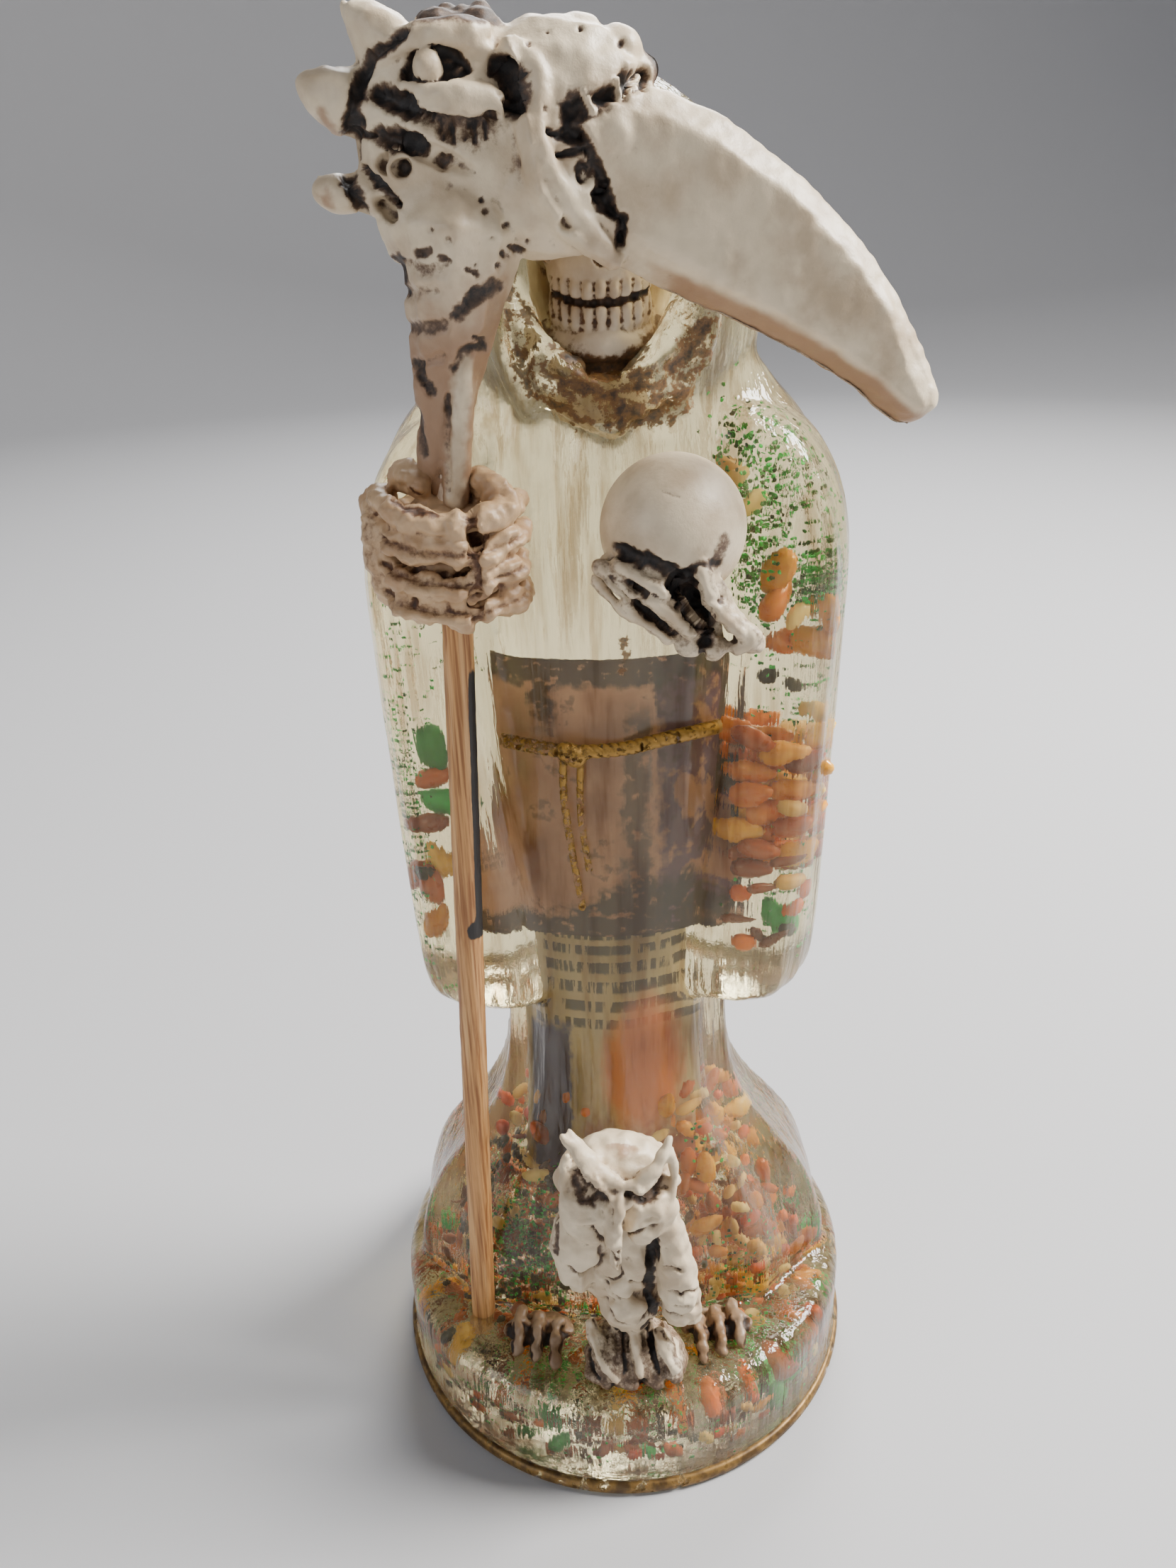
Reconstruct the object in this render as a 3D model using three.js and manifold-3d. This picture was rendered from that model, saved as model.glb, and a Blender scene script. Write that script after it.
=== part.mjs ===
// A hooded skeleton figure cast in clear resin on a round base, with an ivory globe hand, an ivory owl
// and a scythe: a carved head on a bamboo stick. Millimetres, +Z up, the front looks towards -Y,
// the origin is at the middle of the underside.
import * as THREE from 'three';
import { mergeVertices } from 'three/addons/utils/BufferGeometryUtils.js';
import Module from 'manifold-3d';

const wasm = await Module();
wasm.setup();

// Driving dimensions
const figureHeight = 142; // from the top of the base to the crown of the hood
const baseRadius = 31;
const baseHeight = 15;
const baseEdgeRound = 3;
const rimBead = 1.4; // height of the bead round the underside
const rimGroove = 0.6; // how far the wall stands back above the bead
const hemLedge = 3; // base left free at the sides of the hem
const robeHalfWidth = 13.8;
const robeHalfDepth = 10.8;
const shaftRadius = 1.5;
const socketDepth = 5; // how far the stick goes into the base
const globeRadius = 6.8;
const seatClearance = 0.3; // gap round each piece that is set into another
const beltHeight = 80; // above the base, in figure units like all carving
const bladeHalfThickness = 2.2;

// Carving keeps its proportions: it is given in units of a 142nd of the figure's height
const unit = figureHeight / 142;
const hemHalfWidth = baseRadius - hemLedge;
const hemHalfDepth = hemHalfWidth * 0.66;

// Where the stick stands in the base, and where the fist grips it
const stickFoot = new THREE.Vector3(-0.616 * baseRadius, -0.48 * baseRadius, baseHeight - socketDepth);
const grip = at(-14.35, -15.95, 101.3);
const stickDirection = grip.clone().sub(stickFoot).normalize();
const globeCentre = at(6, -15.6, 103.2);
const owlSpot = new THREE.Vector2(-0.4, -0.745 * baseRadius);

// A point of the carving: x and y from the axis, height above the base
function at(x, y, height) {
  return new THREE.Vector3(x * unit, y * unit, baseHeight + height * unit);
}

// The point of the stick's axis at a height above the base, in figure units
function onStick(height) {
  const z = baseHeight + height * unit;
  const travel = (z - stickFoot.z) / stickDirection.z;
  return stickFoot.clone().addScaledVector(stickDirection, travel);
}

// Solids
function toSolid(geometry) {
  const bare = geometry.clone();
  bare.deleteAttribute('normal');
  bare.deleteAttribute('uv');
  const welded = mergeVertices(bare, 1e-4);
  return new wasm.Manifold(new wasm.Mesh({
    numProp: 3,
    vertProperties: new Float32Array(welded.attributes.position.array),
    triVerts: new Uint32Array(welded.index.array),
  }));
}

function toGeometry(solid) {
  const mesh = solid.getMesh();
  const geometry = new THREE.BufferGeometry();
  geometry.setAttribute('position', new THREE.BufferAttribute(mesh.vertProperties, 3));
  geometry.setIndex(new THREE.BufferAttribute(mesh.triVerts, 1));
  geometry.computeVertexNormals();
  return geometry;
}

function joined(solids) {
  return solids.reduce((whole, piece) => whole.add(piece));
}

function without(solid, cuts) {
  return cuts.reduce((rest, cut) => rest.subtract(cut), solid);
}

// A closed skin over rings of points, each ring anticlockwise seen from the last ring
function loft(rings) {
  const sides = rings[0].length;
  const points = rings.flat();
  const index = [];
  for (let ring = 0; ring < rings.length - 1; ring += 1) {
    for (let side = 0; side < sides; side += 1) {
      const a = ring * sides + side;
      const b = ring * sides + (side + 1) % sides;
      index.push(a, b, b + sides, a, b + sides, a + sides);
    }
  }
  const middle = (ring) => ring.reduce((sum, p) => sum.add(p), new THREE.Vector3()).divideScalar(sides);
  const first = points.length;
  const last = first + 1;
  points.push(middle(rings[0]), middle(rings[rings.length - 1]));
  const top = (rings.length - 1) * sides;
  for (let side = 0; side < sides; side += 1) {
    const next = (side + 1) % sides;
    index.push(first, next, side, last, top + side, top + next);
  }
  const geometry = new THREE.BufferGeometry();
  geometry.setAttribute('position', new THREE.Float32BufferAttribute(points.flatMap((p) => p.toArray()), 3));
  geometry.setIndex(index);
  return toSolid(geometry);
}

// A round-cornered oval ring at one height; wave gives a share of the radius for each angle
function ovalRing(centre, halfWidth, halfDepth, squareness, sides, wave = () => 1) {
  const ring = [];
  for (let side = 0; side < sides; side += 1) {
    const angle = (side / sides) * 2 * Math.PI;
    const c = Math.cos(angle);
    const s = Math.sin(angle);
    const share = wave(angle);
    ring.push(new THREE.Vector3(
      centre.x + share * halfWidth * Math.sign(c) * Math.abs(c) ** (2 / squareness),
      centre.y + share * halfDepth * Math.sign(s) * Math.abs(s) ** (2 / squareness),
      centre.z,
    ));
  }
  return ring;
}

// Rows of [height, x, y, half width, half depth] in figure units, lofted upwards
function column(rows, squareness, sides, wave) {
  return loft(rows.map(([height, x, y, halfWidth, halfDepth]) => ovalRing(
    at(x, y, height), halfWidth * unit, halfDepth * unit, squareness, sides,
    wave && ((angle) => wave(angle, height)),
  )));
}

// A round limb through points, with a radius for each point and rounded ends
function limb(points, radii, sides = 8, steps = 6) {
  const curve = new THREE.CatmullRomCurve3(points);
  const frames = curve.computeFrenetFrames(steps, false);
  const ringAt = (step, radius, shift) => {
    const centre = curve.getPoint(step / steps).addScaledVector(frames.tangents[step], shift);
    const ring = [];
    for (let side = 0; side < sides; side += 1) {
      const angle = (side / sides) * 2 * Math.PI;
      ring.push(centre.clone()
        .addScaledVector(frames.normals[step], radius * Math.cos(angle))
        .addScaledVector(frames.binormals[step], radius * Math.sin(angle)));
    }
    return ring;
  };
  const radiusAt = (share) => {
    const place = share * (radii.length - 1);
    const before = Math.min(Math.floor(place), radii.length - 2);
    return THREE.MathUtils.lerp(radii[before], radii[before + 1], place - before);
  };
  const rings = [ringAt(0, radiusAt(0) * 0.6, -radiusAt(0) * 0.7)];
  for (let step = 0; step <= steps; step += 1) rings.push(ringAt(step, radiusAt(step / steps), 0));
  rings.push(ringAt(steps, radiusAt(1) * 0.6, radiusAt(1) * 0.7));
  return loft(rings);
}

function egg(centre, radii, turn = [0, 0, 0], across = 14, down = 9) {
  const geometry = new THREE.SphereGeometry(1, across, down);
  geometry.rotateX(Math.PI / 2);
  geometry.scale(...radii);
  geometry.rotateX(turn[0]).rotateY(turn[1]).rotateZ(turn[2]);
  geometry.translate(centre.x, centre.y, centre.z);
  return toSolid(geometry);
}

// An egg of the carving, in figure units; grow adds a plain distance all round
function carvedEgg(x, y, height, radii, turn, across, down, grow = 0) {
  return egg(at(x, y, height), radii.map((radius) => radius * unit + grow), turn, across, down);
}

function stick(radius, lowEnd, highEnd, sides = 16) {
  const length = lowEnd.distanceTo(highEnd);
  const geometry = new THREE.CylinderGeometry(radius, radius, length, sides);
  geometry.applyQuaternion(new THREE.Quaternion().setFromUnitVectors(
    new THREE.Vector3(0, 1, 0), highEnd.clone().sub(lowEnd).normalize(),
  ));
  const middle = lowEnd.clone().add(highEnd).divideScalar(2);
  geometry.translate(middle.x, middle.y, middle.z);
  return toSolid(geometry);
}

// The stick: its foot is in the base, its top inside the scythe head
const stickTopHeight = 126;

function shaftSolid(grow) {
  const low = stickFoot.clone().addScaledVector(stickDirection, -grow);
  const high = onStick(stickTopHeight).addScaledVector(stickDirection, grow);
  return stick(shaftRadius + grow, low, high);
}

// Base: a bead round the underside, a straight wall and a rounded top edge
function baseSolid() {
  const profile = new THREE.Path();
  const wall = baseRadius - rimGroove;
  profile.moveTo(0, 0);
  profile.lineTo(baseRadius - 0.3, 0);
  profile.lineTo(baseRadius, 0.3);
  profile.lineTo(baseRadius, rimBead);
  profile.lineTo(wall, rimBead + 0.5);
  profile.lineTo(wall, baseHeight - baseEdgeRound);
  profile.absarc(wall - baseEdgeRound, baseHeight - baseEdgeRound, baseEdgeRound, 0, Math.PI / 2);
  profile.lineTo(0, baseHeight);
  const geometry = new THREE.LatheGeometry(profile.getPoints(2), 36);
  geometry.rotateX(Math.PI / 2);
  return toSolid(geometry);
}

// Robe: a tall fluted column that flares into the hem
const robeFolds = 10;

function robeSolid() {
  // height, share of the waist's width, share of the way from waist to hem
  const rows = [
    [-1.5, 1, 1], [4, 1, 1], [12, 1, 0.82], [18, 1, 0.55], [23.5, 1, 0.27], [30, 1, 0.08],
    [42, 0.99, 0], [62, 1, 0], [80, 0.98, 0], [94, 1.08, 0], [106, 1.18, 0], [117, 0.84, 0],
  ];
  const rings = rows.map(([height, waist, flare]) => {
    const halfWidth = THREE.MathUtils.lerp(robeHalfWidth * waist, hemHalfWidth, flare);
    const halfDepth = THREE.MathUtils.lerp(robeHalfDepth * Math.min(waist, 1), hemHalfDepth, flare);
    const fold = 0.014 + 0.03 * Math.sin(Math.PI * Math.min(Math.max(height, 0), 60) / 60);
    const drape = (angle) => 1 + fold * (1 - 2 * Math.abs(Math.sin(robeFolds * (angle - Math.PI / 2) / 2)));
    return ovalRing(at(0, 1.5 * flare, height), halfWidth, halfDepth, 2.2, 40, drape);
  });
  return loft(rings);
}

// Cloak: hangs from the shoulders behind the arms, with soft folds at the back
function cloakSolid() {
  const rows = [
    [45, 0, 4.6, 19, 5], [47, 0, 4.4, 21.4, 6.6], [51, 0, 4, 22.8, 7.4], [62, 0, 3.8, 23.6, 7.6],
    [80, 0, 3.5, 24.2, 7.8], [96, 0, 3, 24.6, 8.4], [104, 0, 2.4, 23.8, 9], [110, 0, 1.8, 21, 9.4],
    [114, 0, 1.4, 17.6, 9.6], [118, 0, 1, 14.4, 9.2], [121, 0, 1, 11, 8],
  ];
  const drape = (angle) => 1 + (Math.sin(angle) > 0.2 ? 0.03 * Math.cos(8 * (angle - Math.PI / 2)) : 0);
  return column(rows, 2.5, 26, drape);
}

// Sleeves: wide bells that hang from the wrists; side is -1 or 1
function sleeveSolid(side) {
  const rows = [
    [44.2, 14, -3.6, 5.8, 5.4], [46.2, 14.1, -3.8, 8, 7.6], [50, 14.6, -3.8, 8.7, 8.4],
    [61, 15.8, -3.8, 8.1, 8.6], [75, 17.3, -3.7, 7.1, 8.4], [89, 18.2, -3.7, 6.6, 8.6],
    [98, 18.5, -3.4, 6.4, 8.8], [105, 17.2, -2.6, 6.4, 8.4], [110.5, 14, -1.6, 6.2, 7.4],
    [113.5, 11, -1, 4, 5],
  ];
  const pleat = (angle) => 1 + 0.025 * Math.cos(5 * angle);
  return column(rows.map(([height, x, y, w, d]) => [height, side * x, y, w, d]), 2.3, 16, pleat);
}

// Hood with its rolled edge, cut open for the face
function hoodSolid() {
  const shell = column([
    [110, 0, 1, 14.4, 9.4], [118, 0, 0.6, 15.6, 11], [125, 0, 0.5, 15.4, 11.5], [131, 0, 0.8, 14.4, 11.2],
    [136, 0, 1.4, 11.6, 9.8], [139.4, 0, 2, 8, 7.6], [141.4, 0, 2.4, 4.2, 4.4], [142, 0, 2.6, 1.6, 1.8],
  ], 2.15, 22);
  const opening = carvedEgg(0.2, -13, 126.6, [9.6, 9.4, 13], [0, 0, 0], 14, 8);
  const edge = limb([
    at(-7.2, -9, 113.6), at(-9.6, -9.8, 120), at(-9.8, -10, 128), at(-6.6, -9, 135.6), at(0, -8, 138.8),
    at(6.6, -9, 135.6), at(9.8, -10, 128), at(9.6, -9.8, 120), at(7.2, -9, 113.6),
  ], [1.3 * unit, 1.3 * unit], 4, 10);
  return shell.subtract(opening).add(edge);
}

// Skull in the hood: cranium, cheekbones, jaws and two rows of teeth
const toothCount = 6;

function skullSolid() {
  const bones = [
    carvedEgg(0, -1.6, 130.8, [8.2, 7.6, 8.4], [0, 0, 0], 12, 7),
    carvedEgg(0, -5.8, 125, [4.9, 4.2, 4], [0, 0, 0], 8, 6),
    carvedEgg(0, -8.6, 118.9, [2.6, 1.5, 1.5], [0, 0, 0], 8, 5),
  ];
  for (const side of [-1, 1]) {
    bones.push(carvedEgg(side * 4.9, -6.6, 127.4, [2.5, 2, 1.5], [0, side * 0.25, side * 0.5], 7, 5));
    bones.push(limb([
      at(side * 6.2, -1.5, 125.8), at(side * 5.9, -3.4, 120.6), at(side * 3.4, -7.4, 118.4), at(0, -8.8, 118.2),
    ], [1.7 * unit, 1.6 * unit, 1.5 * unit], 5, 3));
  }
  bones.push(column([[112, 0, -5.4, 3.6, 3.2], [120, 0, -5.4, 4.6, 4], [123, 0, -5.4, 4.6, 4]], 2.2, 12));
  for (let tooth = 0; tooth < toothCount; tooth += 1) {
    const angle = (tooth - (toothCount - 1) / 2) * 0.4;
    for (const row of [0, 1]) {
      const centre = at(4.75 * Math.sin(angle), -5.4 - 4.4 * Math.cos(angle), 0);
      const half = 0.72 * unit;
      const ends = row ? [[120.1, 0.8], [122.2, 1]] : [[122.5, 1], [125, 0.8]];
      const rings = ends.map(([height, share]) => [[-1, -1], [1, -1], [1, 1], [-1, 1]].map(([u, v]) => {
        const du = u * half * share;
        const dv = v * half * 1.2;
        return new THREE.Vector3(
          centre.x + du * Math.cos(angle) - dv * Math.sin(angle),
          centre.y + du * Math.sin(angle) + dv * Math.cos(angle),
          baseHeight + height * unit,
        );
      }));
      bones.push(loft(rings));
    }
  }
  const hollows = [carvedEgg(0, -10.4, 126.8, [1, 1.8, 1.7], [0, 0, 0], 8, 6)];
  for (const side of [-1, 1]) {
    hollows.push(carvedEgg(side * 3.5, -9.8, 130.2, [2.4, 3, 2.1], [0, 0, 0], 8, 5));
    hollows.push(carvedEgg(side * 6.3, -6.4, 123.6, [1.4, 2.4, 1.8], [0, 0, 0], 6, 4));
  }
  return without(joined(bones), hollows);
}

// Collar: rolled folds of cloth that meet in a point on the chest
function collarSolid() {
  const roll = (side, low, out) => limb([
    at(side * (8.8 + out), -7.4, 118.6 - low), at(side * 5.8, -9.7, 115.8 - low),
    at(side * 2.6 + 0.6, -11, 113.6 - low), at(0.8, -11.2, 112 - low),
  ], [1.5 * unit, 1.8 * unit, 1.3 * unit], 5, 3);
  return joined([roll(-1, 0, 0), roll(1, 0, 0), roll(-1, -2.6, -1.2), roll(1, -2.6, -1.2)]);
}

// Fist round the stick: four fingers, each bent at the knuckle in front
const fingerCount = 4;
const fingerPitch = 3.15;

function fistSolid() {
  const core = [];
  const here = (x, y, rise) => grip.clone().add(new THREE.Vector3(x * unit, y * unit, rise * unit));
  core.push(egg(here(-0.2, 0.2, -0.2), [6.2, 5.4, 6.6].map((r) => r * unit), [0, 0, 0], 10, 6));
  core.push(limb([here(-3.5, 8, 2), here(-3.2, 4.5, 1), here(-1.5, 0.5, 0)], [3.4 * unit, 3.6 * unit], 8, 2));
  for (let finger = 0; finger < fingerCount; finger += 1) {
    const rise = (1.5 - finger) * fingerPitch;
    const reach = 1 - 0.05 * Math.abs(finger - 1);
    core.push(limb([
      here(-6, 1, rise + 0.2), here(-5 * reach, -3.6, rise), here(-1.4, -5.6 * reach, rise - 0.2),
    ], [1.35 * unit, 1.55 * unit, 1.75 * unit], 5, 2));
    core.push(limb([
      here(2.6, -5.4 * reach, rise), here(5.6 * reach, -3.4, rise + 0.1), here(6, 0, rise + 0.3),
    ], [1.75 * unit, 1.5 * unit, 1.25 * unit], 5, 2));
  }
  core.push(limb([here(2.2, 2, 5.8), here(4.6, -1.4, 6), here(3.4, -4.2, 5.4)], [1.2 * unit, 1.3 * unit], 5, 2));
  return joined(core);
}

// Twisted cord belt between the sleeves, with its knot and two tails
function beltSolid() {
  const front = -robeHalfDepth / unit;
  const low = beltHeight;
  const belt = limb([
    at(-12.4, front + 4.4, low - 0.4), at(-9, front + 1.9, low), at(-4.4, front - 0.1, low - 1.4),
    at(1, front - 0.3, low - 0.6), at(6, front + 0.3, low + 0.6), at(9.8, front + 2, low + 1),
    at(12.6, front + 4.4, low + 1),
  ], [1.15 * unit, 1.15 * unit], 5, 8);
  const tail = (x, end) => limb([
    at(x * 0.9 - 0.5, front - 0.1, low - 2.2), at(x, front - 0.2, low - 9), at(x + 0.8, front, end),
  ], [0.8 * unit, 0.75 * unit, 1.15 * unit], 5, 3);
  const knot = egg(at(-4.8, front - 0.4, low - 1.4), [2.2 * unit, 1.6 * unit, 1.8 * unit], [0, 0.3, 0], 8, 5);
  return joined([belt, knot, tail(-5.6, 60), tail(-3, 63)]);
}

// Toe bones of both feet, under the front hem
const toeCount = 3;

function toesSolid() {
  const toes = [];
  for (const side of [-1, 1]) {
    for (let toe = 0; toe < toeCount; toe += 1) {
      const x = side * (9.2 + 2.5 * toe);
      const reach = hemHalfDepth / unit + 5.6 - 1.1 * toe;
      toes.push(limb([
        at(x * 0.9, 8 - reach, 3), at(x, 2.8 - reach, 2.1), at(x, -reach, 0.7),
      ], [1.3 * unit, 1 * unit, 1.2 * unit], 5, 2));
    }
  }
  return joined(toes);
}

// Globe on a skeletal hand: palm, two rows of finger bones and the two bones of the wrist
function globeHandSolid(grow) {
  const share = globeRadius / 6.8;
  const near = (x, y, rise) => globeCentre.clone().add(new THREE.Vector3(x * share, y * share, rise * share));
  const bone = (points, radii, steps) => limb(
    points.map((p) => near(...p)), radii.map((r) => r * share + grow), 5, steps,
  );
  const pieces = [egg(globeCentre, [globeRadius + grow, globeRadius + grow, globeRadius + grow], [0, 0, 0], 14, 9)];
  pieces.push(egg(near(0.6, -0.6, -6), [4.2, 3.4, 2.4].map((r) => r * share + grow), [0, 0.5, 0], 8, 5));
  for (let finger = 0; finger < 3; finger += 1) {
    pieces.push(bone([
      [-6.2 + 1.9 * finger, -3 - 0.6 * finger, -2 - 0.3 * finger],
      [-5 + 1.9 * finger, -4.2 - 0.6 * finger, -3.6 - 0.3 * finger],
      [-3.4 + 1.8 * finger, -4.8 - 0.4 * finger, -4.8 - 0.3 * finger],
    ], [0.85, 0.7, 0.95], 2));
    pieces.push(bone([
      [-3.8 + 2.1 * finger, -3.6 - 0.7 * finger, -5.4 - 0.4 * finger],
      [-2.4 + 2.1 * finger, -3.9 - 0.7 * finger, -6.8 - 0.4 * finger],
      [-0.8 + 1.9 * finger, -3.6 - 0.6 * finger, -8.2 - 0.4 * finger],
    ], [0.95, 0.75, 1], 2));
  }
  pieces.push(bone([[2.6, -4.6, -3.4], [4.2, -4.4, -5.6], [5.6, -4, -8.2], [7.2, -3.6, -10.2]], [1.2, 1, 1, 1.35], 4));
  pieces.push(bone([[3.4, -3.4, -5.2], [3.2, -3.4, -8], [3.6, -3.2, -10.8]], [1.2, 0.95, 1.35], 3));
  return joined(pieces);
}

// Owl standing on a small rock on the front of the base
function owlSolid(grow) {
  const here = (x, y, height) => new THREE.Vector3(
    owlSpot.x + x * unit, owlSpot.y + y * unit, baseHeight + seatClearance + height * unit,
  );
  const lump = (x, y, height, radii, turn, across, down) => egg(
    here(x, y, height), radii.map((r) => r * unit + grow), turn, across, down,
  );
  const bar = (points, radii, sides, steps) => limb(
    points.map((p) => here(...p)), radii.map((r) => r * unit + grow), sides, steps,
  );
  const pieces = [
    lump(0, 1.6, 17.6, [6.6, 4.6, 9.6], [0.06, 0, 0], 10, 6),
    lump(-0.6, 0.6, 29.4, [7.4, 4.9, 6.2], [0, 0.1, 0], 10, 6),
    lump(-6, -0.6, 19.4, [2.6, 3.4, 6.2], [0, -0.12, 0], 7, 6),
    lump(6.4, -1.4, 14.6, [2.4, 2.6, 7.2], [0, -0.28, 0], 7, 6),
    bar([[-1.6, -3.6, 31], [-1.1, -5.4, 26], [-0.9, -5.6, 21.6]], [1.1, 1.2, 0.4], 5, 2),
    bar([[-0.4, -4.2, 30.4], [-3.6, -3.6, 34.2], [-6.4, -1.8, 38.4]], [1.1, 1.1, 0.4], 5, 2),
    bar([[-0.4, -4.2, 30.4], [2.6, -3.6, 33], [5.4, -1.8, 36]], [1.1, 1.1, 0.4], 5, 2),
    bar([[0.4, 0.4, 11], [0.8, 1.4, 6], [1, 2, 2.4]], [4.4, 3, 2.4], 7, 2),
  ];
  for (const side of [-1, 1]) {
    pieces.push(lump(-0.5 + 3.6 * side, -3.1, 27.4, [3.5, 1.9, 4], [0, side * 0.2, side * 0.25], 8, 5));
    for (let claw = 0; claw < 3; claw += 1) {
      const x = 1 + 2.9 * side + 1.35 * (claw - 1);
      pieces.push(bar([[x * 0.9, 0.5, 4.6], [x, -2.8, 4.2], [x, -4.4, 2]], [0.9, 0.85, 0.7], 4, 2));
    }
  }
  const rock = loft([[0, 6.6, 4.8], [2.2, 6.2, 4.5], [3.8, 4.6, 3.2]].map(([height, wide, deep]) => ovalRing(
    here(1, 0, height), wide * unit + grow, deep * unit + grow, 2.4, 12,
    (angle) => 1 + 0.07 * Math.cos(3 * angle + 1),
  )));
  const discs = [-1, 1].map((side) => egg(
    here(-0.5 + 3.6 * side, -5.9, 27.6), [2.5, 1.8, 2.9].map((r) => r * unit - grow), [0, 0, side * 0.2], 7, 4,
  ));
  return without(joined([...pieces, rock]), grow > 0 ? [] : discs);
}

// Scythe head: a horned beast's skull with a broad curved blade, on a neck that takes the stick
const headPlane = -16.5;

function bladeSolid() {
  const corner = (x, height) => new THREE.Vector2(x, height);
  const back = new THREE.CubicBezierCurve(
    corner(2, 139), corner(13, 137.4), corner(25.6, 125), corner(28.9, 115.4),
  );
  const edge = new THREE.CubicBezierCurve(
    corner(-1, 127), corner(6.6, 122), corner(18, 119.4), corner(25, 112.4),
  );
  const rings = [];
  const steps = 9;
  for (let step = 0; step <= steps; step += 1) {
    const share = step / steps;
    const upper = back.getPoint(share);
    const lower = edge.getPoint(share);
    const thick = bladeHalfThickness * THREE.MathUtils.lerp(1.25, 0.85, share);
    // across the blade: share of the way from back to edge, share of the thickness
    const section = [[0, 0.35], [0.16, 1], [0.78, 1], [1, 0.22]];
    const front = section.map(([across, deep]) => [across, -deep]);
    const behind = section.map(([across, deep]) => [across, deep]).reverse();
    rings.push([...front, ...behind].map(([across, deep]) => {
      const spot = upper.clone().lerp(lower, across);
      return at(spot.x, headPlane, spot.y).add(new THREE.Vector3(0, deep * thick, 0));
    }));
  }
  const tipRing = (grow, shift) => rings[steps].map((p) => {
    const middle = at(26.95 + shift, headPlane, 113.9 - shift * 1.1);
    return middle.add(p.clone().sub(at(26.95, headPlane, 113.9)).multiplyScalar(grow));
  });
  rings.push(tipRing(0.86, 0.7), tipRing(0.5, 1.2));
  return loft(rings);
}

function scytheHeadSolid() {
  const bulk = [
    carvedEgg(-11, headPlane, 135.4, [8.8, 4.4, 8.5], [0, 0, 0], 11, 7),
    carvedEgg(-3.4, headPlane, 136.6, [8.2, 4.1, 7.1], [0, 0.2, 0], 10, 7),
    carvedEgg(-5, headPlane, 131.4, [7.6, 3.9, 5.2], [0, 0.1, 0], 9, 6),
    carvedEgg(-12.4, headPlane - 0.6, 129.4, [6, 3.9, 5.4], [0, 0, 0], 9, 6),
    carvedEgg(-11.2, headPlane - 2.6, 137.2, [4.2, 2.8, 2], [0, 0.15, 0], 8, 5),
    carvedEgg(-12.2, headPlane - 2.7, 142, [4.4, 2, 1.3], [0, -0.1, 0], 8, 5),
    bladeSolid(),
  ];
  const horn = (points, radius) => limb(points, [radius * unit, radius * 0.82 * unit, 0.4 * unit], 7, 2);
  bulk.push(horn([at(-15.4, headPlane, 139.6), at(-17.4, headPlane, 142.2), at(-19.3, headPlane, 144.6)], 2.3));
  bulk.push(horn([at(-17.8, headPlane, 138.2), at(-20.6, headPlane, 138.6), at(-23.4, headPlane, 139.3)], 2.6));
  bulk.push(horn([at(-18, headPlane, 131.4), at(-20.2, headPlane, 132), at(-22.6, headPlane, 132.8)], 1.7));
  // ridge from the brow down to the blade's edge
  bulk.push(limb([
    at(-6.6, headPlane - 3, 141), at(-5.4, headPlane - 3.8, 136), at(-4.8, headPlane - 3.6, 131.6),
    at(-2.4, headPlane - 2.6, 128.4), at(1, headPlane - 1.6, 126),
  ], [1.2 * unit, 1.3 * unit, 1.1 * unit, 0.8 * unit], 5, 6));
  // crest of knobs along the top
  for (let knob = 0; knob < 2; knob += 1) {
    bulk.push(carvedEgg(-12.4 + 3.4 * knob, headPlane + 0.3, 143 - 0.15 * knob, [1.9, 2, 1.4], [0, 0, 0], 7, 5));
  }
  // neck, then an open tongue down the outer side of the stick
  const foot = onStick(109).add(new THREE.Vector3(-1.6 * unit, 0, 0));
  const collar = onStick(114.6).add(new THREE.Vector3(-0.4 * unit, 0, 0));
  bulk.push(limb([
    at(-11.6, headPlane, 129), at(-12.4, headPlane, 124), at(-13.2, headPlane + 0.2, 119.6), collar, foot,
  ], [5.6 * unit, 4.6 * unit, 3.4 * unit, 2.7 * unit, 1.5 * unit], 9, 5));
  const cuts = [
    carvedEgg(-12.7, headPlane - 5.2, 140, [2.7, 1.9, 1.15], [0, -0.12, 0], 8, 5),
    carvedEgg(-7.2, headPlane - 4.8, 138.4, [1.3, 2.4, 2.3], [0, 0.2, 0], 7, 4),
    carvedEgg(-13.2, headPlane - 4.6, 134.2, [4.6, 1.7, 0.95], [0, 0.38, 0], 7, 4),
    carvedEgg(-16.4, headPlane - 3.2, 133.6, [1.9, 1.9, 0.95], [0, 0.05, 0], 6, 4),
    carvedEgg(-17.2, headPlane - 2, 130.4, [1.9, 2.4, 0.75], [0, 0.7, 0], 6, 4),
  ];
  // bitten pits where the blade grows out of the head
  for (let pit = 0; pit < 4; pit += 1) {
    const x = 2.6 - 1.7 * pit;
    cuts.push(carvedEgg(x, headPlane - 3.6, 138.2 - 3 * pit, [1.4, 1.3, 0.9], [0, 0.5 - 0.4 * pit, 0], 6, 4));
  }
  const eyeball = carvedEgg(-13, headPlane - 4, 140, [0.95, 0.95, 0.85], [0, 0, 0], 7, 5);
  return without(joined(bulk), cuts).add(eyeball).subtract(shaftSolid(seatClearance));
}

// The casting, with seats for the pieces set into it
function resinSolid() {
  const body = joined([
    baseSolid(), robeSolid(), cloakSolid(), sleeveSolid(-1), sleeveSolid(1), hoodSolid(),
    skullSolid(), collarSolid(), fistSolid(), beltSolid(), toesSolid(),
  ]);
  return without(body, [shaftSolid(seatClearance), globeHandSolid(seatClearance), owlSolid(seatClearance)]);
}

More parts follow.
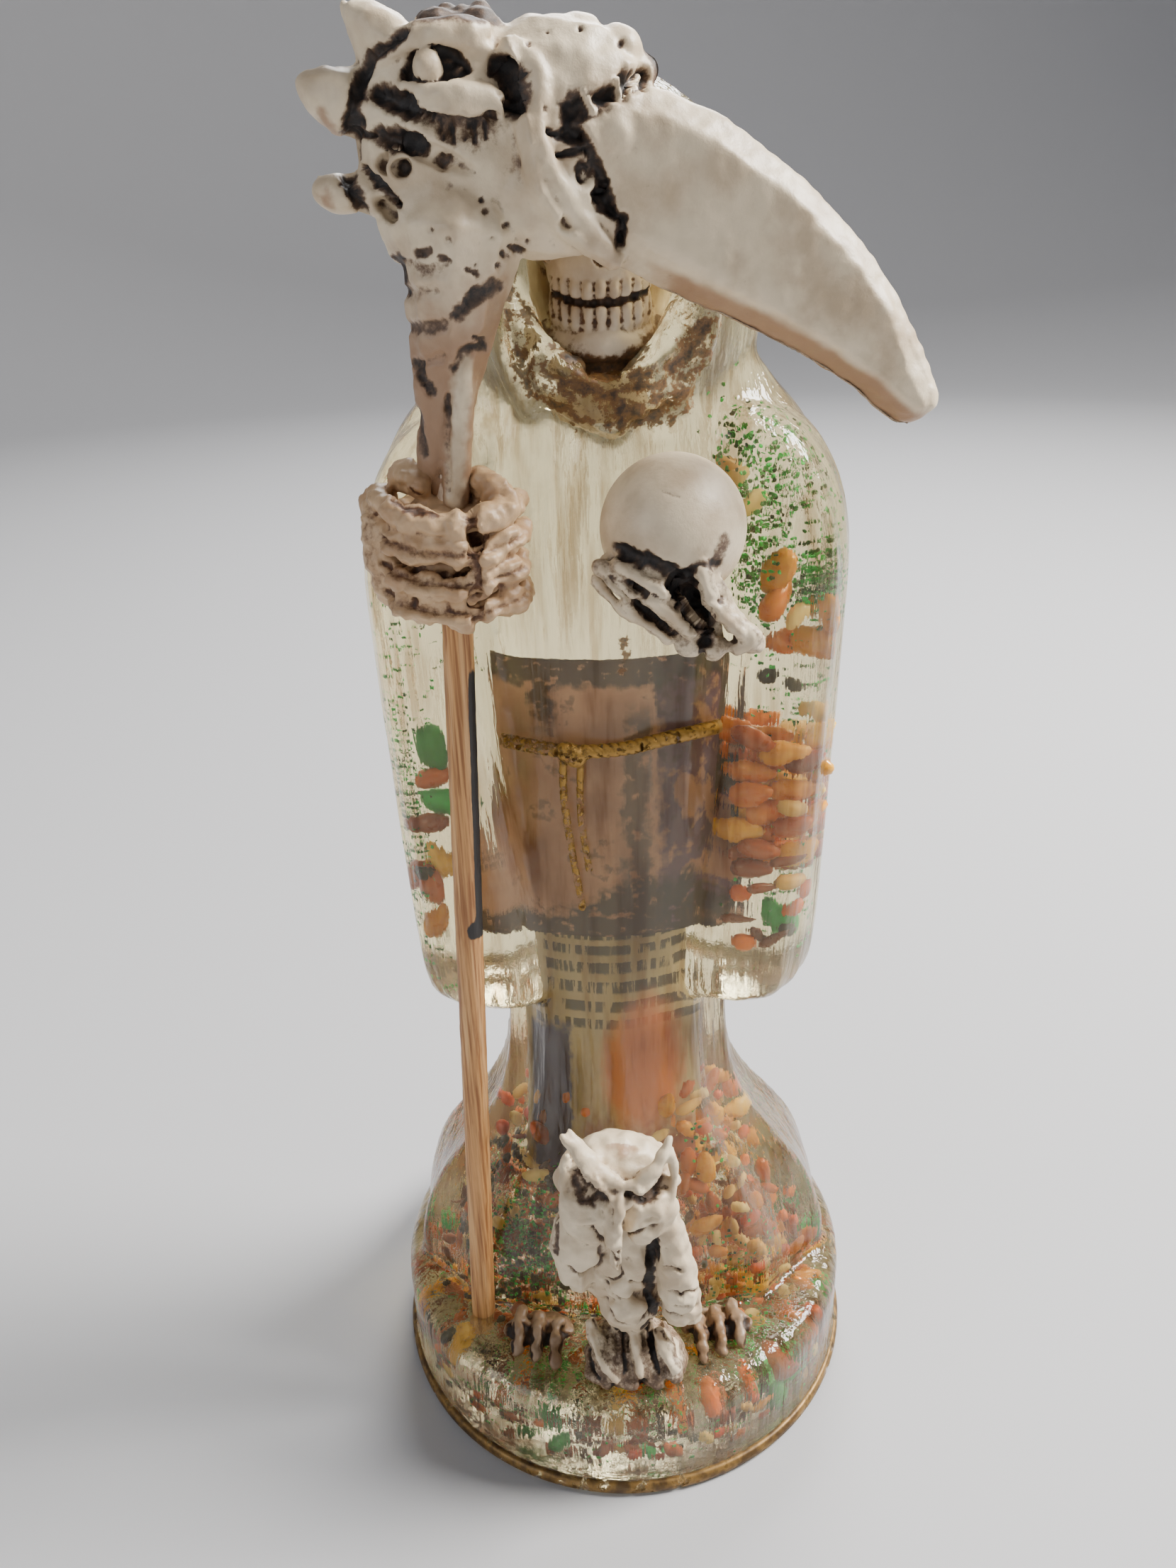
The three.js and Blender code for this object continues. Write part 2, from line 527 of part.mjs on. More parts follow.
// Scene
const clearResin = new THREE.MeshStandardMaterial({
  color: 0xe9e2b8, roughness: 0.15, metalness: 0, transparent: true, opacity: 0.45,
});
const ivory = new THREE.MeshStandardMaterial({ color: 0xd9cdb4, roughness: 0.55, metalness: 0 });
const bamboo = new THREE.MeshStandardMaterial({ color: 0xb98450, roughness: 0.6, metalness: 0 });

const figure = new THREE.Group();
const pieces = [
  ['resin_body', resinSolid(), clearResin],
  ['globe_hand', globeHandSolid(0), ivory],
  ['owl', owlSolid(0), ivory],
  ['scythe_shaft', shaftSolid(0), bamboo],
  ['scythe_head', scytheHeadSolid(), ivory],
];
for (const [name, solid, material] of pieces) {
  const mesh = new THREE.Mesh(toGeometry(solid), material);
  mesh.name = name;
  figure.add(mesh);
}

export default figure;
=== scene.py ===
"""A hooded skeleton figure cast in clear resin on a round base.

Seeds, green glitter and two paper slips are sealed in the resin. The skull, fist, toes and belt are
painted. The scythe head, the globe on its hand and the owl are cast ivory pieces with dark antiquing,
and the scythe stands on a bamboo stick. Sizes are millimetres from the axis and from the top of the base.
"""
import math
import random

import bmesh
import bpy
import numpy as np
from mathutils import Euler, Matrix, Vector, noise
from mathutils.bvhtree import BVHTree


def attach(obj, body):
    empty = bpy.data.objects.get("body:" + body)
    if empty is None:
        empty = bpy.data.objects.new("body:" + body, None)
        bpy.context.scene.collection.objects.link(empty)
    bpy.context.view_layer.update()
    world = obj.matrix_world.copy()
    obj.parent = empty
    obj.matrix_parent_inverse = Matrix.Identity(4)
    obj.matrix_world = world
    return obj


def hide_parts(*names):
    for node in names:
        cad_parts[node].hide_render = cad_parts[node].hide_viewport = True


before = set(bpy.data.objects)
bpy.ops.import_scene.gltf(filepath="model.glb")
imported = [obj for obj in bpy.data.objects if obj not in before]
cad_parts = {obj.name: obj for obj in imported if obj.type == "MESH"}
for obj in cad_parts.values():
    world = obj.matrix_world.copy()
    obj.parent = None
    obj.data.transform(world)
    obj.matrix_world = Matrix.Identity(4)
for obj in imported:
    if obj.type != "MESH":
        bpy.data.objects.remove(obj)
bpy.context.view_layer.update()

MM = 0.001
BASE_HEIGHT = 15
BASE_RADIUS = 31
STICK_RADIUS = 1.5
GLOBE = (6, -15.6, 103.2)
GLOBE_RADIUS = 6.8
PAPER_THICKNESS = 0.12
FLAKE_RADIUS = 0.24
FLAKE_THICKNESS = 0.04
GRIP = (-14.35, -15.95, 101.3)
STICK_FOOT = (-19.1, -14.88, -5)
STICK_TOP = 125.5
# one turn of the belt's twisted strands, in strand radii
TWIST = 5.2


# Places and smooth lines

def at(x, y, height):
    """A place in metres: millimetres from the axis, and the height above the top of the base."""
    return Vector((x, y, BASE_HEIGHT + height)) * MM


def along(points, share):
    """The value at a share of the way along a smooth line through the points."""
    spans = len(points) - 1
    place = min(max(share * spans, 0), spans - 1e-9)
    span = int(place)
    t = place - span
    before, start, end, after = (
        np.array(points[min(max(span + step, 0), spans)], float) for step in (-1, 0, 1, 2)
    )
    bend = (2 * before - 5 * start + 4 * end - after) * t**2
    return 0.5 * (2 * start + (end - before) * t + bend + (3 * start - before - 3 * end + after) * t**3)


def mixed(values, share):
    """The number at a share of the way along a row of numbers."""
    place = share * (len(values) - 1)
    first = min(int(place), len(values) - 2)
    return values[first] + (values[first + 1] - values[first]) * (place - first)


def on_stick(height):
    """The stick's axis at a height."""
    share = (height - STICK_FOOT[2]) / (GRIP[2] - STICK_FOOT[2])
    return [a + (b - a) * share for a, b in zip(STICK_FOOT, GRIP)]


# Lumps: closed shapes that a voxel remesh can fuse into one skin

def taken_from(bm):
    """The places and triangles of a bmesh, which is let go."""
    bmesh.ops.triangulate(bm, faces=bm.faces)
    bm.verts.index_update()
    places = np.array([vert.co[:] for vert in bm.verts])
    faces = np.array([[vert.index for vert in face.verts] for face in bm.faces])
    bm.free()
    return places, faces


def unit_ball(fineness):
    bm = bmesh.new()
    bmesh.ops.create_icosphere(bm, subdivisions=fineness, radius=1)
    return taken_from(bm)


def unit_tube(sides, rings):
    """A closed tube of radius 1 from height -1 to 1, cut into rings."""
    bm = bmesh.new()
    bmesh.ops.create_cone(
        bm, cap_ends=True, cap_tris=True, segments=sides, radius1=1, radius2=1, depth=2,
    )
    upright = [edge for edge in bm.edges if edge.verts[0].co.z * edge.verts[1].co.z < 0]
    bmesh.ops.subdivide_edges(bm, edges=upright, cuts=rings - 2)
    return taken_from(bm)


def spun(profile, sides, ring=False):
    """A profile of (radius, height) turned about the axis; a ring joins its last place to its first."""
    bm = bmesh.new()
    line = [bm.verts.new((radius, 0, height)) for radius, height in profile]
    ahead = line[1:] + line[:1] if ring else line[1:]
    edges = [bm.edges.new(pair) for pair in zip(line, ahead)]
    bmesh.ops.spin(
        bm, geom=line + edges, cent=(0, 0, 0), axis=(0, 0, 1), angle=2 * math.pi, steps=sides,
        use_merge=True,
    )
    bmesh.ops.remove_doubles(bm, verts=bm.verts, dist=0.001)
    bmesh.ops.recalc_face_normals(bm, faces=bm.faces)
    return taken_from(bm)


BALLS = {fineness: unit_ball(fineness) for fineness in (1, 2, 3, 4)}


class Lumps:
    """Closed shapes gathered in millimetres from the axis and the top of the base, then made one mesh."""

    def __init__(self):
        self.places = []
        self.faces = []
        self.shades = []
        self.count = 0

    def put(self, places, faces, shade=0.0):
        self.places.append(places)
        self.faces.append(faces + self.count)
        self.shades.append(np.full(len(places), shade))
        self.count += len(places)

    def egg(self, centre, radii, turn=(0, 0, 0), fineness=4):
        places, faces = BALLS[fineness]
        spin = np.array(Euler(turn).to_matrix())
        self.put((places * radii) @ spin.T + centre, faces)

    def limb(self, points, radii):
        """A round limb: balls set close together along a smooth line."""
        places, faces = BALLS[2]
        length = sum(math.dist(a, b) for a, b in zip(points, points[1:]))
        spacing = 0.35 * min(radii)
        steps = max(2, math.ceil(length / spacing))
        for step in range(steps + 1):
            share = step / steps
            self.put(places * mixed(radii, share) + along(points, share), faces)

    def rings(self, rings):
        """A tube drawn over closed rings with the same number of places, with flat ends."""
        rings = np.array(rings)
        sides = len(rings[0])
        tube, faces = unit_tube(sides, len(rings))
        level = np.rint((tube[:, 2] + 1) / 2 * (len(rings) - 1)).astype(int)
        # the tube's first side lies at a quarter turn
        turn = (np.arctan2(tube[:, 1], tube[:, 0]) - math.pi / 2) / (2 * math.pi)
        places = rings[level, np.rint(turn * sides).astype(int) % sides]
        middle = np.hypot(tube[:, 0], tube[:, 1]) < 0.5
        places[middle] = rings[level[middle]].mean(1)
        self.put(places, faces)

    def loft(self, rows, squareness, sides=96, wave=None):
        """A closed skin over rows of (height, x, y, half width, half depth), a ring to each millimetre."""
        angle = np.arange(sides) * 2 * math.pi / sides
        c, s = np.cos(angle), np.sin(angle)
        wide = np.sign(c) * np.abs(c) ** (2 / squareness)
        deep = np.sign(s) * np.abs(s) ** (2 / squareness)
        spans = len(rows) - 1
        shares = []
        for span in range(spans):
            cuts = max(1, round(rows[span + 1][0] - rows[span][0]))
            shares += [(span + cut / cuts) / spans for cut in range(cuts)]
        rings = []
        for share in [*shares, 1.0]:
            height, x, y, half_width, half_depth = along(rows, share)
            swell = wave(angle, height) if wave else 1
            rings.append(np.column_stack((
                x + swell * half_width * wide, y + swell * half_depth * deep, np.full(sides, height),
            )))
        self.rings(rings)

    def solid(self, node):
        """The CAD node's own solid."""
        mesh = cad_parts[node].data
        mesh.calc_loop_triangles()
        places = np.array([vert.co[:] for vert in mesh.vertices]) / MM - (0, 0, BASE_HEIGHT)
        faces = np.array([face.vertices[:] for face in mesh.loop_triangles])
        self.put(places, faces)

    def piece(self, name, finish=None):
        places = (np.concatenate(self.places) + (0, 0, BASE_HEIGHT)) * MM
        mesh = bpy.data.meshes.new(name)
        mesh.from_pydata(places.tolist(), [], np.concatenate(self.faces).tolist())
        shade = mesh.attributes.new("shade", "FLOAT", "POINT")
        shade.data.foreach_set("value", np.concatenate(self.shades).astype(np.float32))
        return placed(mesh, finish)


def placed(mesh, finish=None):
    piece = bpy.data.objects.new(mesh.name, mesh)
    bpy.context.scene.collection.objects.link(piece)
    if finish:
        mesh.materials.append(finish)
    mesh.shade_smooth()
    return piece


def apply_modifiers(piece):
    bpy.context.view_layer.update()
    graph = bpy.context.evaluated_depsgraph_get()
    mesh = bpy.data.meshes.new_from_object(piece.evaluated_get(graph))
    old = piece.data
    piece.modifiers.clear()
    piece.data = mesh
    bpy.data.meshes.remove(old)
    mesh.name = piece.name


def fuse(piece, voxel, evening):
    """One even skin over all the lumps of a piece."""
    shade = piece.data.attributes.get("shade")
    if shade:
        piece.data.attributes.remove(shade)
    # joins the loose triangles of a copied solid
    weld = piece.modifiers.new("weld", "WELD")
    weld.merge_threshold = 0.002 * MM
    remesh = piece.modifiers.new("fuse", "REMESH")
    remesh.mode = "VOXEL"
    remesh.voxel_size = voxel * MM
    smooth = piece.modifiers.new("even", "SMOOTH")
    smooth.factor = 0.5
    smooth.iterations = evening
    apply_modifiers(piece)
    piece.data.shade_smooth()
    return piece


class Clay:
    """The vertices of one fused piece, in millimetres from the axis and the top of the base."""

    def __init__(self, piece):
        self.piece = piece
        mesh = piece.data
        count = len(mesh.vertices)
        flat = np.empty(count * 3)
        mesh.vertices.foreach_get("co", flat)
        self.place = flat.reshape(-1, 3) / MM - (0, 0, BASE_HEIGHT)
        self.out = np.empty(count * 3)
        mesh.vertices.foreach_get("normal", self.out)
        self.out = self.out.reshape(-1, 3)
        self.wash = np.zeros(count)
        self.tone_and_shade = np.zeros(count)
        ends = np.empty(len(mesh.edges) * 2, dtype=np.int64)
        mesh.edges.foreach_get("vertices", ends)
        self.ends = ends.reshape(-1, 2)
        self.links = np.bincount(ends, minlength=count).astype(float)[:, None]

    def near_line(self, spots, width):
        """Front vertices near a line of the front view, and each one's distance as a share of its width."""
        # how far the line's edge wanders, as a share of its width, and how deep the line reaches
        ragged = 0.36
        reach = 4.5
        widths = width if isinstance(width, tuple) else (width,) * 2
        if len(spots) == 1:
            spots = spots * 2
        points = spots
        if len(spots) > 2:
            steps = 4 * (len(spots) - 1)
            points = [along(spots, step / steps) for step in range(steps + 1)]
        points = np.array(points, float)
        flat = self.place[:, [0, 2]]
        low = points.min(0) - max(widths)
        high = points.max(0) + max(widths)
        near = np.flatnonzero(((flat > low) & (flat < high)).all(1) & (self.out[:, 1] < 0.3))
        if len(near) == 0:
            return near, np.empty(0)
        off = np.full(len(near), 1e9)
        for number, (start, end) in enumerate(zip(points, points[1:])):
            leg = end - start
            share = ((flat[near] - start) @ leg / max(leg @ leg, 1e-9)).clip(0, 1)
            foot = start + share[:, None] * leg
            here = mixed(widths, (number + 0.5) / (len(points) - 1))
            off = np.minimum(off, np.linalg.norm(flat[near] - foot, axis=1) / here)
        kept = off < 1 + ragged
        near, off = near[kept], off[kept]
        if len(near) == 0:
            return near, off
        places = [Vector(place) for place in self.place[near]]
        wander = [noise.noise(place * 0.9) + 0.6 * noise.noise(place * 2.3) for place in places]
        off = off + ragged * np.array(wander)
        kept = (off < 1) & (self.place[near, 1] < self.place[near, 1].min() + reach)
        return near[kept], off[kept].clip(0, 1)

    def stroke(self, spots, width, depth=0.0, wash=0.0, clean=0.0, tone_and_shade=0.0):
        """Raises the skin along a line of the front view, or cuts it where depth is negative."""
        near, off = self.near_line(spots, width)
        fall = (1 - off**2) ** 2
        self.place[near] += self.out[near] * (depth * fall)[:, None]
        if wash:
            # a fuller wash keeps its strength nearer to its edge
            fade = 0.95 - 0.4 * wash
            self.wash[near] = np.maximum(self.wash[near], wash * np.clip((1 - off) / fade, 0, 1))
        if clean:
            self.wash[near] *= 1 - clean * np.clip((1 - off) / 0.35, 0, 1)
        if tone_and_shade:
            self.tone_and_shade[near] = np.maximum(self.tone_and_shade[near], tone_and_shade * fall)

    def press(self, centre, radii, wash=0.0):
        """Pushes the skin back, away from the viewer, onto the far side of an egg."""
        share = (self.place - centre) / radii
        across = share[:, 0] ** 2 + share[:, 2] ** 2
        back = centre[1] + radii[1] * np.sqrt(np.maximum(0, 1 - across))
        inside = (across < 1) & (self.place[:, 1] < back) & (self.out[:, 1] < 0.3)
        self.place[inside, 1] = back[inside]
        if wash:
            self.wash[inside] = np.maximum(self.wash[inside], wash * np.minimum(1, 2 - 2 * across[inside]))

    def roughen(self, size, depth, seed=0.0):
        """Raises and lowers the skin by an even noise of that grain size."""
        shift = Vector((seed, 0.3 * seed, 0))
        waves = np.array([noise.noise(Vector(place) / size + shift) for place in self.place])
        self.place += self.out * (depth * waves)[:, None]

    def evened(self, times, places=None):
        places = self.place if places is None else places
        for _ in range(times):
            total = np.zeros_like(places)
            for axis in range(3):
                total[:, axis] = (
                    np.bincount(self.ends[:, 0], places[self.ends[:, 1], axis], len(places))
                    + np.bincount(self.ends[:, 1], places[self.ends[:, 0], axis], len(places))
                )
            places = 0.5 * places + 0.5 * total / self.links
        return places

    def settle(self, times=1):
        self.place = self.evened(times)

    def hollows(self, times):
        """How far each vertex lies below the evened skin, in millimetres."""
        return ((self.evened(times) - self.place) * self.out).sum(1)

    def done(self, times=14, gain=6.0):
        """Writes the places, the antiquing and the painted shade back to the mesh."""
        mesh = self.piece.data
        mesh.vertices.foreach_set("co", ((self.place + (0, 0, BASE_HEIGHT)) * MM).ravel())
        hollow = np.clip(gain * self.hollows(times), -1, 1)
        for name, values in (("wash", self.wash), ("hollow", hollow), ("tone_and_shade", self.tone_and_shade)):
            layer = mesh.attributes.new(name, "FLOAT", "POINT")
            layer.data.foreach_set("value", values.astype(np.float32))
        mesh.update()
        return self.piece


# Finishes

class Wire:
    """A value that runs through a finish; sums and products on it add Math nodes."""

    def __init__(self, finish, socket):
        self.finish = finish
        self.socket = socket

    def maths(self, operation, first, second):
        return self.finish.add("ShaderNodeMath", {"operation": operation}, {0: first, 1: second})

    def __add__(self, other):
        return self.maths("ADD", self, other)

    __radd__ = __add__

    def __sub__(self, other):
        return self.maths("SUBTRACT", self, other)

    def __rsub__(self, other):
        return self.maths("SUBTRACT", other, self)

    def __mul__(self, other):
        return self.maths("MULTIPLY", self, other)

    __rmul__ = __mul__

    def most(self, other):
        return self.maths("MAXIMUM", self, other)

    def step(self, low, high):
        """0 up to low, 1 from high, smooth between."""
        return self.finish.add(
            "ShaderNodeMapRange", {"interpolation_type": "SMOOTHSTEP"}, {0: self, 1: low, 2: high},
        )


class Finish:
    """A material built round one Principled shader."""

    def __init__(self, name, **values):
        self.material = bpy.data.materials.new(name)
        self.material.use_nodes = True
        self.tree = self.material.node_tree
        self.shader = self.tree.nodes["Principled BSDF"]
        self.coordinates = None
        for socket, value in values.items():
            self.set(socket.replace("_", " "), value)

    def add(self, kind, settings=None, sockets=None, output=0):
        node = self.tree.nodes.new(kind)
        for name, value in (settings or {}).items():
            setattr(node, name, value)
        for name, value in (sockets or {}).items():
            self.feed(node.inputs[name], value)
        return Wire(self, node.outputs[output])

    def feed(self, socket, value):
        if isinstance(value, Wire):
            self.tree.links.new(value.socket, socket)
        else:
            socket.default_value = value

    def set(self, socket, value):
        self.feed(self.shader.inputs[socket], value)

    def stretched(self, stretch=(1, 1, 1), shift=(0, 0, 0)):
        """Object coordinates in millimetres, stretched and shifted."""
        if self.coordinates is None:
            self.coordinates = self.add("ShaderNodeTexCoord", output=3)
        return self.add("ShaderNodeMapping", None, {
            "Vector": self.coordinates,
            "Scale": [s / MM for s in stretch],
            "Location": shift,
        })

    def grain(self, size, detail=4, stretch=(1, 1, 1), shift=(0, 0, 0), rough=0.55):
        return self.add("ShaderNodeTexNoise", None, {
            "Vector": self.stretched(stretch, shift),
            "Scale": 1 / size,
            "Detail": detail,
            "Roughness": rough,
        })

    def carried(self, name):
        """A value stored on the mesh."""
        return self.add("ShaderNodeAttribute", {"attribute_name": name}, output=2)

    def tinted(self, share, first, second):
        return self.add("ShaderNodeMix", {"data_type": "RGBA"}, {0: share, 6: first, 7: second}, output=2)

    def relief(self, height, strength, depth):
        self.set("Normal", self.add("ShaderNodeBump", None, {
            "Strength": strength, "Distance": depth * MM, "Height": height,
        }))


def tone(*screen):
    """A screen colour, red, green and blue from 0 to 255, as the shader's own light values."""
    shares = [value / 255 for value in screen]
    return (*(s / 12.92 if s < 0.04045 else ((s + 0.055) / 1.055) ** 2.4 for s in shares), 1)


def antiqued(name, pale, shade, tan_and_shade, brown, dark):
    """Cast ivory with a dark wash left in its hollows, and a tan tone that also carries painted shade."""
    finish = Finish(name)
    broad = finish.grain(5, 4)
    middle = finish.grain(1.7, 5, shift=(9, 2, 6), rough=0.6)
    fine = finish.grain(0.5, 6, shift=(4, 7, 1), rough=0.65)
    hollow = finish.carried("hollow")
    soiled = finish.carried("wash").most(hollow * 0.8) + (fine - 0.5) * 0.8 + (middle - 0.5) * 0.7
    base = finish.tinted(broad.step(0.36, 0.7), pale, shade)
    base = finish.tinted((finish.carried("tone_and_shade") + (broad - 0.5) * 0.6).step(0.1, 0.9), base, tan_and_shade)
    stained = finish.tinted(soiled.step(0.2, 0.62), base, brown)
    black = finish.tinted(middle.step(0.45, 0.75) * 0.5, dark, brown)
    finish.set("Base Color", finish.tinted(soiled.step(0.5, 0.95), stained, black))
    finish.set("Roughness", soiled.step(0.2, 0.7) * 0.2 + broad * 0.12 + 0.36)
    finish.relief(fine + middle * 0.5, 0.4, 0.14)
    return finish.material


def clear_resin():
    """Pale yellow resin with darker streaks where it ran down the mould."""
    finish = Finish("clear_resin", Roughness=0.07, IOR=1.42, Transmission_Weight=0.93)
    flow = finish.grain(3.2, 3, stretch=(1, 1, 0.14))
    drips = finish.grain(1.2, 3, stretch=(1, 1, 0.1), shift=(5, 1, 2))
    streaks = (flow * 0.6 + drips * 0.4).step(0.47, 0.62)
    finish.set("Base Color", finish.tinted(streaks, (0.87, 0.77, 0.45, 1), (0.42, 0.3, 0.14, 1)))
    pits = finish.grain(0.7, 3)
    finish.relief(flow + drips * 0.3 + pits * 0.08, 0.6, 1.1)
    return finish.material


def plain_finish(name, low, high, size=1.0, gloss=0.5, metal=0.0, relief=0.1, coat=0.0):
    """One material whose colour wanders between two tones, and by the piece's own shade."""
    finish = Finish(name, Metallic=metal, Coat_Weight=coat)
    wander = finish.grain(size, 4)
    shade = finish.carried("shade")
    finish.set("Base Color", finish.tinted((shade * 0.75 + wander * 0.5 - 0.12).step(0, 1), low, high))
    finish.set("Roughness", wander * 0.3 + (gloss - 0.15))
    finish.relief(wander, 0.4, relief)
    return finish.material


def bamboo_finish():
    """Straw-coloured wood with long grain, ivory paint up to the fist and a black burn down one side."""
    finish = Finish("bamboo")
    grain = finish.grain(0.28, 4, stretch=(1, 1, 0.02))
    streak = finish.grain(0.9, 3, stretch=(1, 1, 0.04), shift=(3, 1, 0))
    base = finish.tinted(grain.step(0.3, 0.7), tone(136, 86, 44), tone(202, 150, 92))
    base = finish.tinted(streak.step(0.5, 0.75), base, tone(216, 170, 114))
    wash = finish.carried("wash")
    paint = finish.carried("tone_and_shade")
    ragged = finish.grain(0.8, 5, stretch=(1, 1, 0.3))
    base = finish.tinted((wash + (ragged - 0.5) * 0.5).step(0.4, 0.55), base, tone(30, 26, 26))
    ivory = finish.tinted(ragged.step(0.42, 0.62), tone(222, 206, 184), tone(172, 142, 114))
    painted = finish.tinted((paint + (ragged - 0.5) * 0.3).step(0.42, 0.55), base, ivory)
    finish.set("Base Color", painted)
    finish.set("Roughness", grain * 0.25 + 0.42)
    finish.relief(grain, 0.5, 0.12)
    return finish.material


IVORY = antiqued(
    "ivory", tone(216, 199, 170), tone(184, 163, 134), tone(152, 120, 92), tone(98, 76, 58),
    tone(30, 26, 25),
)
OLD_IVORY = antiqued(
    "painted_ivory", tone(206, 192, 168), tone(176, 156, 130), tone(122, 94, 66), tone(96, 64, 36),
    tone(32, 23, 16),
)
TAN = antiqued(
    "painted_bone", tone(198, 166, 128), tone(164, 128, 92), tone(132, 96, 66), tone(100, 66, 42),
    tone(52, 33, 22),
)
RESIN = clear_resin()


# The clear casting

def robe_rows():
    """The robe as [height, x, y, half width, half depth]."""
    shape = [
        (-1.5, 1, 1), (4, 1, 1), (12, 1, 0.82), (18, 1, 0.55), (23.5, 1, 0.27), (30, 1, 0.08),
        (42, 0.99, 0), (62, 1, 0), (80, 0.98, 0), (94, 1.08, 0), (106, 1.18, 0), (117, 0.84, 0),
    ]
    rows = []
    for height, waist, flare in shape:
        half_width = 13.8 * waist * (1 - flare) + 28 * flare
        half_depth = 10.8 * min(waist, 1) * (1 - flare) + 18.48 * flare
        rows.append((height, 0, 1.5 * flare, half_width, half_depth))
    return rows


def robe_folds(angle, height):
    deep = 0.022 + 0.024 * math.sin(math.pi * min(max(height, 0), 60) / 60)
    slow = 0.008 * np.sin(13 * angle + height * 0.09)
    return 1 + deep * (1 - 2 * np.abs(np.sin(5 * (angle - math.pi / 2)))) + slow


CLOAK_ROWS = [
    (45, 0, 4.6, 19, 5), (47, 0, 4.4, 21.4, 6.6), (51, 0, 4, 22.8, 7.4), (62, 0, 3.8, 23.6, 7.6),
    (80, 0, 3.5, 24.2, 7.8), (96, 0, 3, 24.6, 8.4), (104, 0, 2.4, 23.8, 9), (110, 0, 1.8, 21, 9.4),
    (114, 0, 1.4, 17.6, 9.6), (118, 0, 1, 14.4, 9.2), (121, 0, 1, 11, 8),
]
SLEEVE_ROWS = [
    (44.2, 14, -3.6, 5.8, 5.4), (46.2, 14.1, -3.8, 8, 7.6), (50, 14.6, -3.8, 8.7, 8.4),
    (61, 15.8, -3.8, 8.1, 8.6), (75, 17.3, -3.7, 7.1, 8.4), (89, 18.2, -3.7, 6.6, 8.6),
    (98, 18.5, -3.4, 6.4, 8.8), (105, 17.2, -2.6, 6.4, 8.4), (110.5, 14, -1.6, 6.2, 7.4),
    (113.5, 11, -1, 4, 5),
]
HOOD_ROWS = [
    (110, 0, 1, 14.4, 9.4), (118, 0, 0.6, 15.6, 11), (125, 0, 0.5, 15.4, 11.5), (131, 0, 0.8, 14.4, 11.2),
    (136, 0, 1.4, 11.6, 9.8), (139.4, 0, 2, 8, 7.6), (141.4, 0, 2.4, 4.2, 4.4), (142, 0, 2.6, 1.6, 1.8),
]
HOOD_EDGE = [
    (-7.2, -9, 113.6), (-9.6, -9.8, 120), (-9.8, -10, 128), (-6.6, -9, 135.6), (0, -8, 138.8),
    (6.6, -9, 135.6), (9.8, -10, 128), (9.6, -9.8, 120), (7.2, -9, 113.6),
]
# creases of the collar in the front view, and how wide the stain runs along each
COLLAR_CREASES = [
    ([(-6.6, 119.4), (-7.4, 117), (-6.6, 115), (-4.6, 114), (-2.2, 113), (0.4, 112)], 0.55),
    ([(-4.6, 118.8), (-5.4, 116.8), (-3.6, 116), (-1.6, 115.2), (0.6, 114.6), (1.6, 113.2)], 0.5),
    ([(-3.4, 118.2), (-0.7, 117.2), (1.5, 117.5), (4.2, 118.4)], 0.7),
    ([(-2.6, 116.9), (0.4, 116.2), (3.2, 116.3), (6.6, 117)], 0.5),
    ([(1.2, 115.3), (3.6, 115.2), (6, 115.4), (9, 116.4)], 0.65),
    ([(1.4, 112.4), (3.6, 111.6), (6.2, 111.6), (8.2, 113.4), (9.4, 115.6)], 0.7),
    ([(3.4, 113.4), (4.8, 114.1), (6.2, 113.4), (5, 112.6), (3.8, 113)], 0.4),
    ([(-7.9, 125), (-8.5, 121.6), (-7.7, 118)], 0.5), ([(8.2, 117.8), (9.8, 120.8)], 0.6),
]


def cloak_folds(angle, height):
    behind = np.maximum(0, np.sin(angle)) ** 0.5
    fine = 0.008 * np.sin(21 * angle + 0.06 * height)
    return 1 + behind * (0.03 * np.cos(8 * (angle - math.pi / 2)) + fine)


def sleeve_folds(angle, height):
    return 1 + 0.035 * np.cos(5 * angle) + 0.02 * np.sin(13 * angle + 0.08 * height)


def base_profile():
    """A bead round the underside, a straight wall and a rounded top edge, as (radius, height)."""
    wall = BASE_RADIUS - 0.6
    profile = [
        (0, 0), (BASE_RADIUS - 0.3, 0), (BASE_RADIUS, 0.3), (BASE_RADIUS, 1.4), (wall, 1.9), (wall, 7),
        (wall, 12),
    ]
    for step in range(1, 7):
        angle = step / 6 * math.pi / 2
        profile.append((wall - 3 + 3 * math.cos(angle), 12 + 3 * math.sin(angle)))
    profile.append((0, BASE_HEIGHT))
    return [(radius, height - BASE_HEIGHT) for radius, height in profile]


